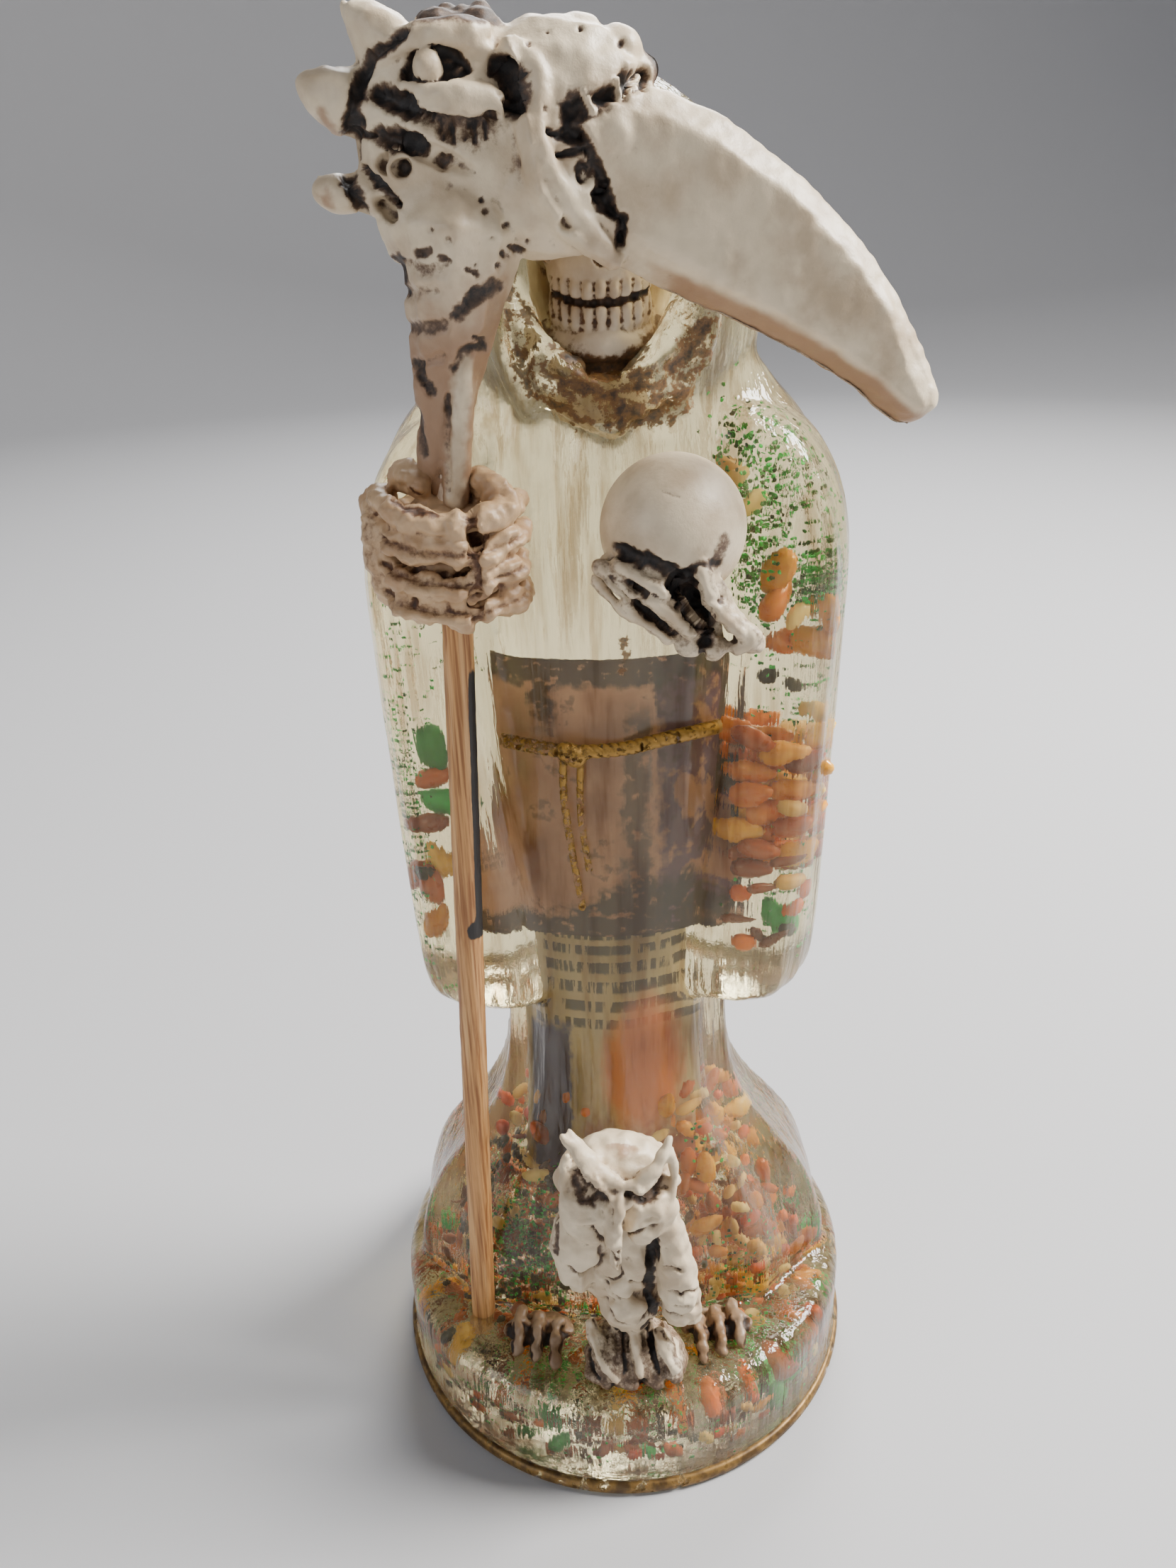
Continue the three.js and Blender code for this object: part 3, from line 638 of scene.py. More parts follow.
def clear_body():
    hood = Lumps()
    hood.loft(HOOD_ROWS, 2.15)
    hood = fuse(hood.piece("hood"), voxel=0.7, evening=2)
    clay = Clay(hood)
    clay.press((0.2, -13, 126.6), (9.6, 9.4, 13))
    hood_faces = np.array([[*face.vertices] for face in hood.data.polygons])
    body = Lumps()
    body.put(clay.place, np.concatenate([hood_faces[:, (0, 1, 2)], hood_faces[:, (0, 2, 3)]]))
    bpy.data.objects.remove(hood)
    body.limb(HOOD_EDGE, (1.3, 1.3))
    body.put(*spun(base_profile(), 120))
    body.loft(robe_rows(), 2.2, 120, robe_folds)
    body.loft(CLOAK_ROWS, 2.5, 120, cloak_folds)
    for side in (-1, 1):
        rows = [(height, side * x, y, w, d) for height, x, y, w, d in SLEEVE_ROWS]
        body.loft(rows, 2.3, 80, sleeve_folds)
        for low, out in ((0, 0), (-2.6, -1.2)):
            body.limb([
                (side * (8.8 + out), -7.4, 118.6 - low), (side * 5.8, -9.7, 115.8 - low),
                (side * 2.6 + 0.6, -11, 113.6 - low), (0.8, -11.2, 112 - low),
            ], (1.5, 1.8, 1.3))
    x, y, height = GRIP
    body.limb([(x - 3.5, y + 8, height + 2), (x - 3.2, y + 4.5, height + 1)], (3.4, 3.4))
    body = fuse(body.piece("clear_body", RESIN), voxel=0.58, evening=4)
    clay = Clay(body)
    for spots, width in COLLAR_CREASES:
        clay.stroke(spots, width * 1.5, -0.6)
    clay.settle(1)
    # the underside stays flat
    low = clay.place[:, 2] < -BASE_HEIGHT + 0.25
    clay.place[low, 2] = -BASE_HEIGHT
    return clay.done()


# Painted parts of the casting

def skull_face():
    lumps = Lumps()
    lumps.egg((0, -1.6, 130.8), (8.2, 7.6, 8.4))
    lumps.egg((0, -5.8, 125), (4.9, 4.2, 4))
    lumps.egg((0, -8.6, 118.9), (2.9, 1.7, 1.7))
    for side in (-1, 1):
        lumps.egg((side * 4.9, -6.6, 127.4), (2.5, 2, 1.5), (0, side * 0.25, side * 0.5))
        lumps.limb([
            (side * 6.2, -1.5, 125.8), (side * 5.9, -3.4, 120.6), (side * 3.4, -7.4, 118.6),
            (0, -8.9, 118.6),
        ], (1.7, 1.7, 1.6, 1.6))
    lumps.loft([(112, 0, -5.4, 3.6, 3.2), (120, 0, -5.4, 4.8, 4.1), (123.4, 0, -5.4, 4.7, 4.1)], 2.2, 48)
    teeth = 9
    tooth_turn = 0.255
    for tooth in range(teeth):
        angle = (tooth - (teeth - 1) / 2) * tooth_turn
        width = 0.62 - 0.02 * abs(tooth - (teeth - 1) / 2)
        for height, long in ((123.2, 1.1), (121.1, 1.3)):
            lift = 0.35 * (1 - math.cos(2 * angle))
            centre = (4.75 * math.sin(angle), -5.35 - 4.3 * math.cos(angle), height + lift)
            lumps.egg(centre, (width, 0.7, long), (0, 0, angle), 3)
    clay = Clay(fuse(lumps.piece("skull_face", OLD_IVORY), voxel=0.22, evening=2))
    for side in (-1, 1):
        clay.press((side * 3.5, -9.8, 130.2), (2.4, 3, 2.1), 1)
        clay.press((side * 6.3, -7.4, 123.6), (1.2, 2.4, 1.8), 0.6)
    clay.press((0, -10.6, 126.8), (1, 1.9, 1.7), 1)
    smile = [
        (-5.5, 123.4), (-3.9, 122.9), (-2.8, 122.5), (-0.9, 122.3), (1.1, 122.3), (3, 122.6), (4.6, 123.2),
    ]
    clay.stroke(smile, 0.42, -0.3, 0.95)
    for tooth in range(teeth + 1):
        angle = (tooth - teeth / 2) * tooth_turn
        x = 5.0 * math.sin(angle)
        lift = 0.35 * (1 - math.cos(2 * angle))
        clay.stroke([(x, 122.4 + lift), (x * 0.98, 123.5 + lift)], 0.24, -0.15, 0.36)
        clay.stroke([(x, 122.1 + lift), (x * 0.98, 120.9 + lift)], 0.24, -0.15, 0.5)
        clay.stroke([(x * 0.98, 120.6 + lift)], 0.34, -0.12, 0.7)
        clay.stroke([(x * 0.98, 123.9 + lift)], 0.3, -0.1, 0.6)
    # brown shade under the chin and up the sides of the jaw
    for side in (-1, 1):
        jaw = [(side * 6.6, 125), (side * 6.3, 121.4), (side * 4.6, 118.6), (side * 1.5, 117.4)]
        clay.stroke(jaw, 1.5, wash=0.6)
    clay.stroke([(-3.4, 117.6), (0, 116.8), (3.4, 117.6)], 1.6, wash=0.75)
    clay.roughen(1.6, 0.12)
    return clay.done()


def fist():
    x0, y0, h0 = GRIP
    lumps = Lumps()

    def here(x, y, rise):
        return (x0 + x, y0 + y, h0 + rise)

    lumps.egg(here(-0.4, 0.4, 0.4), (6.1, 4.9, 5.6))
    lumps.limb([here(-3.3, 5.5, 1.4), here(-3.0, 3.5, 0.8), here(-1.5, 0.5, 0)], (3.7, 3.7))
    # the back of the hand shows as a flat shoulder on the left
    lumps.limb([here(-6.6, 1.2, 4.8), here(-6.4, -1.6, 2), here(-5.8, -1.8, -2.4)], (1.9, 1.9, 1.7))
    knots = (1.1, 0.95, 1.3, 1.05, 1.45, 1.15, 1.4)
    finger_step = 2.75
    for finger in range(4):
        rise = (1.5 - finger) * finger_step + 0.6
        sag = 0.35 * math.sin(finger * 2.1)
        reach = 1 - 0.05 * abs(finger - 1)
        lumps.limb([
            here(-6.4, -0.6, rise + 0.9), here(-4.9 * reach, -4.2, rise + 0.5 + sag),
            here(-2.6, -5.5 * reach, rise + sag), here(0.9, -6.0 * reach, rise - 0.5 + sag),
        ], knots)
        lumps.limb([
            here(2.9, -5.9 * reach, rise - 0.3 - sag), here(4.6 * reach, -4.7, rise + 0.2),
            here(5.9, -2.8, rise + 0.3), here(6.2, 0, rise + 0.4),
        ], (1.35, 1.1, 1.35, 1.0, 1.1))
    lumps.limb([here(1.9, 1, 6.6), here(3.9, -1.8, 6.7), here(5.4, -2.6, 5)], (1.3, 1.5, 1.2))
    lumps.limb([here(-4.4, 1, 7.4), here(-2.6, -1.2, 7)], (1.5, 1.3))
    clay = Clay(fuse(lumps.piece("fist", TAN), voxel=0.25, evening=2))
    for finger in range(4):
        rise = h0 + (0.5 - finger) * finger_step + 0.95
        gap = [(-20.6, rise + 0.9), (-18, rise + 0.3), (-15.4, rise - 0.2), (-12.8, rise - 0.3)]
        clay.stroke(gap, (0.6, 0.85, 0.6), -0.6, 0.5)
        clay.stroke([(-11.2, rise - 0.2), (-9.4, rise), (-7.8, rise + 0.3)], (0.75, 0.6), -0.5, 0.45)
        fine = [(-18.6, rise + 1.6), (-16.4, rise + 1.3), (-14, rise + 1.1)]
        clay.stroke(fine, 0.3, -0.15, 0.2)
    clay.stroke([(-12.1, 107), (-12, 103.9), (-11.9, 100.5), (-12, 97)], 0.85, -0.75, 0.62)
    clay.stroke([(-18.4, 107.8), (-16.2, 107.2), (-14.6, 107.4)], 0.9, -0.4, 0.8)
    clay.stroke([(-21.4, 107), (-21.8, 102), (-20.4, 98)], 1.3, wash=0.35)
    clay.roughen(1.7, 0.5)
    clay.roughen(0.7, 0.25, 5)
    return clay.done(times=30, gain=2.4)


def toes():
    lumps = Lumps()
    for side in (-1, 1):
        lumps.egg((side * 11.5, -18.6, 0.2), (4.6, 2.6, 1.2))
        for toe in range(3):
            x = side * (9.2 + 2.4 * toe)
            reach = 23.9 - 1.0 * toe
            lumps.limb([(x * 0.97, 4.8 - reach, 1.7), (x, 2.2 - reach, 1.4), (x * 1.02, -reach, 0.3)],
                       (0.95, 0.8, 1.1, 0.8, 1.0, 0.6))
    clay = Clay(fuse(lumps.piece("toes", OLD_IVORY), voxel=0.22, evening=2))
    for side in (-1, 1):
        for toe in range(4):
            x = side * (8.0 + 2.4 * toe)
            clay.stroke([(x, 2.4), (x, 0.1)], 0.8, -0.3, 1)
    clay.tone_and_shade[:] = 0.75
    clay.wash = np.maximum(clay.wash, ((0.9 - clay.place[:, 2]) * 0.4).clip(0, 0.5))
    clay.roughen(1.1, 0.35)
    return clay.done(times=20, gain=4)


# Cast ivory pieces

def scythe_head():
    lumps = Lumps()
    lumps.solid("scythe_head")
    # horns
    lumps.limb([(-15.9, -17.3, 142), (-17.2, -17.3, 143), (-18.5, -17.3, 144)], (2.1, 1.75, 0.8))
    lumps.limb([(-19.8, -17.2, 138), (-21.2, -17.2, 138.6), (-22.7, -17.2, 139.3)], (2.5, 2.0, 0.95))
    lumps.egg((-21, -17, 131.7), (2.3, 1.7, 1.5), (0, 0.15, 0))
    # crest and the lumps behind the top
    crest = [
        (-12.9, -15.5, 142.9), (-11.6, -14.6, 143.7), (-10.4, -15.4, 143.5), (-9, -14.8, 143.7),
        (-8, -15.4, 142.9),
    ]
    for number, centre in enumerate(crest):
        lumps.egg(centre, (0.95, 1.1, 0.9 + 0.2 * (number % 2)), fineness=3)
    for centre, size in (
        ((-5, -15.8, 141.9), 2.3), ((-1.6, -15.6, 142), 2.2), ((1.6, -15.6, 141.2), 2.1),
        ((3.2, -15, 139.6), 1.8),
    ):
        lumps.egg(centre, (size, size * 0.95, size * 0.8))
    # brow, cheek, bead and the ridge before the blade
    lumps.limb([
        (-17.6, -17.6, 140.2), (-16.3, -18.6, 141.1), (-14, -19.9, 141.9), (-11.8, -20.2, 142.1),
        (-9.8, -19.8, 141.6), (-8.4, -19, 140.7), (-7.8, -19, 139.6),
    ], (0.5, 0.75, 0.85, 0.8, 0.7, 0.6))
    lumps.limb([
        (-14.9, -19.9, 138.6), (-13, -20.3, 138.2), (-11, -20.6, 138), (-9, -20.4, 137.9),
        (-7.9, -20, 137.5),
    ], (0.6, 1.15, 1.25, 1.0, 1.05))
    lumps.limb([
        (-5.7, -19.4, 141), (-4.4, -20, 138.7), (-4.9, -20.5, 136.2), (-4.4, -20.5, 133.6),
        (-3.1, -19.7, 131.3),
        (-1.6, -19, 129.1), (0.2, -18.7, 127.1),
    ], (0.8, 0.9, 0.8, 0.95, 1.0, 0.9, 0.8))
    for x, height in ((-15.4, 133.3), (-12.4, 133.5)):
        ring = [
            (x + 1.25 * math.cos(angle), -19.55, height + 0.95 * math.sin(angle))
            for angle in [step * math.pi / 4 for step in range(9)]
        ]
        lumps.limb(ring, (0.33, 0.33))
    eye = (-12.85, -20.5, 140)
    lumps.egg(eye, (1.1,) * 3)
    # the skin closes over the root of the blade
    lumps.egg((0.7, -18.7, 135.4), (2.4, 1.2, 2))
    # the painted top of the stick shows in front of the neck
    rod = [(-12, -18.3, 118.6), (-12.6, -18, 114.5), (-13.2, -17.7, 110.5), (-13.7, -17.4, 107)]
    lumps.limb(rod, (1.0, 1.25, 1.3, 1.3))
    lumps.limb([(-15.4, -17.8, 117), (-15.5, -16.9, 112), (-15.4, -16.4, 107.6)], (1.2, 1.0, 0.7))
    clay = Clay(fuse(lumps.piece("scythe_head_carved", IVORY), voxel=0.24, evening=4))
    # the blade is even, and its face slopes away past both bevel lines
    blade = ((clay.place[:, :1] - 2.4) / 2.4).clip(0, 1)
    clay.place += blade * (clay.evened(14) - clay.place)
    x, y, height = clay.place.T
    low_x, low_height = zip(
        (1.9, 128.1), (4.7, 126.4), (9.1, 124.2), (14.4, 121.8), (19.3, 119.2), (23.5, 116.5), (27, 113.6),
    )
    high_x, high_height = zip(
        (4.1, 138), (8.9, 134.7), (15.6, 130.1), (21, 125.1), (24.2, 120.6), (26, 116.4), (28, 113),
    )
    face = (x > 2.6) & (clay.out[:, 1] < 0.2)
    below = np.interp(x, low_x, low_height) - height
    above = height - np.interp(x, high_x, high_height)
    slope = 0.5 * below.clip(0, 2.4) + 0.32 * above.clip(0, 2.4)
    clay.place[face, 1] += (slope * ((x - 2.6) / 3).clip(0, 1))[face]
    clay.place[face, 1] = np.minimum(clay.place[face, 1], -15.2)
    # painted shade: the lower bevel of the blade is coloured the darker tan
    clay.tone_and_shade[face] = (0.9 * below.clip(0, 1) * ((x - 2.6) / 4).clip(0, 1))[face]
    clay.roughen(4, 0.16)
    # the eye's socket is cut round the ball
    ball = np.linalg.norm(clay.place - eye, axis=1) < 1.24
    ball_places = clay.place[ball].copy()
    lid = [(-14.9, 139.4), (-14.1, 140.3), (-13, 140.8), (-11.9, 140.9), (-10.8, 140.6), (-9.8, 139.8)]
    clay.stroke(lid, (0.35, 0.55, 0.6, 0.6, 0.5, 0.35), -0.7, 1)
    lower_lid = [(-14.8, 139.4), (-13.2, 139.3), (-11.4, 139.4), (-9.8, 139.7)]
    clay.stroke(lower_lid, (0.35, 0.45, 0.45, 0.3), -0.6, 1)
    clay.stroke([(-13.9, 139.9), (-12.4, 140.1), (-10.9, 140.1)], 0.6, -0.5, 1)
    # the gash under the cheek, wide and black at the left
    gash = [(-17.2, 138.7), (-16, 138.1), (-14.6, 137.2), (-13.3, 136.6)]
    clay.stroke(gash, (0.6, 1.25, 1.1, 0.6), -1.3, 1)
    clay.stroke([(-13.5, 136.5), (-11.7, 136.1), (-9.9, 136), (-8, 136.5)], (0.8, 0.9, 0.8, 0.5), -1.1, 0.7)
    # brown painted shade in a shallow cut under the cheek
    clay.stroke([(-12.6, 135.9), (-10.6, 135.2), (-8.4, 135.6)], 1.5, -0.25, 0.45)
    for number in range(5):
        x = -12.3 + 0.85 * number
        clay.stroke([(x, 136.3), (x + 0.1, 135.2 - 0.3 * (number % 2))], 0.26, -0.25, 0.9)
    # the deep recess between the cheek and the ridge
    clay.stroke([(-7.8, 140.2), (-6.7, 139.2), (-6.2, 138), (-6.6, 137)], (0.8, 1.35, 1.3, 0.8), -1.3, 1)
    clay.stroke([(-18.9, 135.7), (-17.8, 135.6)], 0.35, -0.4, 0.9)
    clay.stroke([(-17, 135.5), (-15.6, 135.2), (-14.2, 135)], (1.0, 1.35, 1.1), -1.3, 1)
    clay.stroke([(-19, 133.5), (-17.7, 132.2), (-16.2, 130.8)], (0.35, 0.6, 0.5), -0.9, 1)
    for spot in ((-15.4, 133.3), (-12.4, 133.5)):
        clay.stroke([spot], 0.9, -0.35, 0.12, tone_and_shade=0.5)
        clay.stroke([spot], 0.4, wash=0.3)
    # dark rim behind the face, out to the horns
    clay.stroke([
        (-14.4, 142.4), (-15.6, 141.5), (-17.1, 140.9), (-18.1, 139.8), (-18.5, 138.3), (-19.1, 136.6),
        (-19.8, 134.6), (-20.1, 133), (-19.6, 131.6), (-19.3, 130.2),
    ], (0.55, 0.8, 0.75, 0.8, 0.9, 1.0, 1.0, 0.9, 0.8, 0.6), -0.8, 1)
    # torn edge between the skin of the head and the blade
    clay.stroke([
        (3.6, 139.3), (2.2, 138.5), (0.6, 137.7), (-1, 137.2), (-2.2, 136.7), (-2.4, 135.6), (-1.3, 134.9),
    ], (0.9, 1.1, 1.1, 1.4, 1.3, 0.9, 0.6), -1.3, 1)
    clay.stroke([
        (-1.3, 135), (-0.7, 133.8), (-0.2, 132.4), (0.4, 131), (1, 129.6), (1.6, 128.6), (1.5, 127.4),
    ], (0.5, 0.7, 0.7, 0.6, 0.5), -0.7, 0.9)
    clay.stroke([(-3.9, 135.5), (-2.8, 134.9), (-1.5, 134.6)], (0.3, 0.5, 0.3), -0.7, 1)
    clay.stroke([(-3.3, 133.8), (-2.4, 133.9), (-1.2, 134.1)], (0.25, 0.45, 0.3), -0.6, 1)
    clay.stroke([(-1.3, 132.7)], 1.0, -0.8, 0.95)
    clay.stroke([(-1.5, 132.6)], 0.4, 0.3, clean=0.7)
    clay.stroke([(0.4, 131.8), (-0.2, 130.7), (0.8, 129.7)], (0.5, 0.9, 0.6), -1.0, 1)
    clay.stroke([(1.7, 129.2), (1.3, 128.2), (1.5, 127.2)], (0.6, 0.5), -0.8, 1)
    for spots in ([(-1.2, 137.8), (-0.6, 136.8)], [(1.2, 138.6), (1.4, 137.6)], [(2.7, 139), (2.4, 138.2)]):
        clay.stroke(spots, 0.42, 0.8, clean=0.9)
    clay.stroke([(0.6, 135.3)], 1.2, clean=1)
    # drilled dots
    dots = [
        (-13.5, 128.9), (-9.5, 130.9), (-9.2, 130.1), (-7.7, 129.1), (-8.7, 128.2), (-6.1, 127.7),
        (-14.8, 127.2),
        (-12.2, 128.2), (-10.3, 126.3), (-1.3, 142.3), (-5.2, 141.3), (1.8, 141.3), (-3.8, 142.1),
        (-4.1, 136.9),
    ]
    for number, place in enumerate(dots):
        clay.stroke([place], 0.26 + 0.07 * (number % 4), -0.3, 0.7)
    # dark strokes down the neck
    strokes = [
        ([(-12.1, 122.6), (-10.7, 123.7), (-9, 124.6)], 0.9, 1), ([(-8.5, 126.1)], 0.5, 1),
        ([(-7.9, 126.9)], 0.5, 1),
        ([(-12.7, 118.2), (-11.7, 119.6), (-10.3, 119.9)], 0.65, 1),
        ([(-7.4, 127.4), (-6.6, 127)], 0.45, 0.9),
        ([(-16.8, 126.8), (-16.9, 124.4)], 0.9, 0.95), ([(-16, 118.6), (-14.9, 116.4)], 0.7, 0.95),
        ([(-16.7, 121.4), (-15.2, 121.5), (-13.4, 121.8)], 0.85, 0.72),
        ([(-11, 126), (-10.2, 125.5)], 0.4, 0.9),
        ([(-15.7, 126.4), (-14.2, 126), (-12.6, 126.3)], 0.85, 0.52),
        ([(-16.2, 124.1), (-13.6, 124.5)], 0.8, 0.42),
        ([(-15.4, 118.8), (-13.6, 119.3)], 0.7, 0.35), ([(-14.9, 127.2), (-13.9, 127.4)], 0.6, 0.8),
        ([(-13.5, 116), (-13.9, 112), (-14.2, 108)], 0.5, 0.7), ([(-16.4, 114.6), (-16.2, 111)], 0.7, 0.8),
        ([(-10.9, 120.7), (-10.1, 120.4)], 0.3, 0.9), ([(-13, 126.9), (-12.2, 126.6)], 0.4, 0.9),
    ]
    for spots, width, wash in strokes:
        clay.stroke(spots, width, -0.35, 0.88 * wash)
    # dark wash over the crest and behind the top of the head
    x, y, height = clay.place.T
    crest = ((height - 142.3) / 0.8).clip(0, 1) * (abs(x + 10.4) < 3.4)
    rear = ((y + 16.2) / 0.8).clip(0, 1) * ((height - 131) / 4).clip(0, 1) * (x > -7) * (x < 11)
    clay.wash = np.maximum(clay.wash, np.maximum(0.76 * crest, 0.8 * rear))
    clay.tone_and_shade = np.maximum(clay.tone_and_shade, ((131 - clay.place[:, 2]) / 14).clip(0, 0.9) * (clay.place[:, 0] < 1.5))
    near, off = clay.near_line([(x, height) for x, y, height in rod], 1.3)
    clay.tone_and_shade[near] *= off
    clay.wash[near] *= off
    # painted shade: tan on the lower side of the second horn and over the third horn
    clay.stroke([(-21, 135.8), (-21.4, 137)], 1.2, tone_and_shade=0.8)
    clay.stroke([(-22, 131.4)], 1.3, tone_and_shade=0.8)
    clay.place[ball] = ball_places
    clay.wash[ball] = 0
    clay.roughen(1.1, 0.12, 9)
    return clay.done(times=18, gain=4)


def globe_hand():
    lumps = Lumps()
    lumps.solid("globe_hand")
    lumps.egg(GLOBE, (GLOBE_RADIUS + 0.03,) * 3)
    # finger bones in two rows, the thumb and the heel of the hand
    bones = [
        ([(-0.8, -19.9, 100.9), (0.4, -20.5, 99.5), (1.7, -21, 98.3)], (0.85, 0.65, 0.85)),
        ([(0.9, -20.5, 101.2), (2.8, -21.5, 100), (4.6, -22, 99.2)], (1.05, 0.75, 1.1)),
        ([(3.6, -21.9, 98.6), (5.4, -21.8, 96.9), (7.1, -21.3, 95.3)], (1.05, 0.85, 1.05)),
        ([(-1.3, -18.6, 99.3), (0.2, -19.6, 97.6), (1.8, -20, 96.2)], (0.65, 0.5, 0.65)),
        ([(1.2, -20.4, 97.4), (3.2, -20.6, 95.7), (5.2, -20.3, 94.2)], (0.75, 0.55, 0.75)),
        ([(8, -21.6, 101), (8.5, -21.9, 99.4), (8.9, -21.8, 98.2)], (1.15, 0.85, 1.05)),
        ([(9, -21.6, 97.9), (10.4, -21.3, 96.2), (11.6, -20.8, 95)], (1.05, 0.9, 1.15)),
        ([(11.8, -20.6, 94.8), (12.9, -20.3, 93.9), (11.6, -20, 93)], (1.1, 1.1, 0.9)),
    ]
    for points, radii in bones:
        lumps.limb(points, radii)
    lumps.egg((7.2, -20, 93.3), (1.4, 1.3, 1.2))
    lumps.egg((9.4, -20, 93), (1.5, 1.3, 1.1))
    clay = Clay(fuse(lumps.piece("globe_hand_carved", IVORY), voxel=0.2, evening=2))
    off_globe = ((np.linalg.norm(clay.place - GLOBE, axis=1) - GLOBE_RADIUS - 0.15) / 0.4).clip(0, 1)
    clay.wash = 0.36 * off_globe
    # the dark hollow between the fingers and the thumb
    under_globe = [(0.8, 102.6), (2.4, 102), (4.2, 101.4), (6, 100.6), (7.1, 99.4)]
    clay.stroke(under_globe, (0.7, 1.1, 0.9, 1.2), -0.7, 1)
    palm = [(5.9, 99.8), (7.1, 98), (8.1, 96.3), (8.9, 95), (8.5, 93.9)]
    clay.stroke(palm, (1.3, 1.6, 1.3, 0.9), -1.2, 1)
    clay.stroke([(-0.2, 100.2), (1, 98.8), (2.4, 97.6), (4, 96), (5.6, 94.6)], 0.6, -0.7, 0.95)
    clay.stroke([(1.6, 99.9), (3, 99), (3.8, 98.9)], 0.5, -0.4, 0.95)
    clay.stroke([(7, 100.9), (8.2, 101.6), (9.6, 101.2)], 0.6, -0.3, 0.85)
    clay.stroke([(10, 103.2), (9.7, 102.2), (9.3, 101.4)], 1.1, wash=0.6)
    clay.stroke([(9, 98.2), (9.8, 98)], 0.45, -0.3, 0.8)
    clay.stroke([(10.9, 94.4), (11.2, 93.6)], 0.4, -0.3, 0.8)
    clay.stroke([(8.2, 92.9), (8.5, 92)], 0.5, -0.4, 0.9)
    clay.stroke([(4.6, 107.7), (6.2, 107.2)], 0.22, -0.05, 0.45)
    # the bones themselves stay pale
    for points, radii in bones:
        clay.stroke([(x, height) for x, y, height in points], 0.6 * min(radii), 0.15, clean=0.9)
    smooth = clay.place.copy()
    clay.roughen(1.0, 0.22)
    clay.place = smooth + (clay.place - smooth) * off_globe[:, None]
    return clay.done(times=24, gain=4)


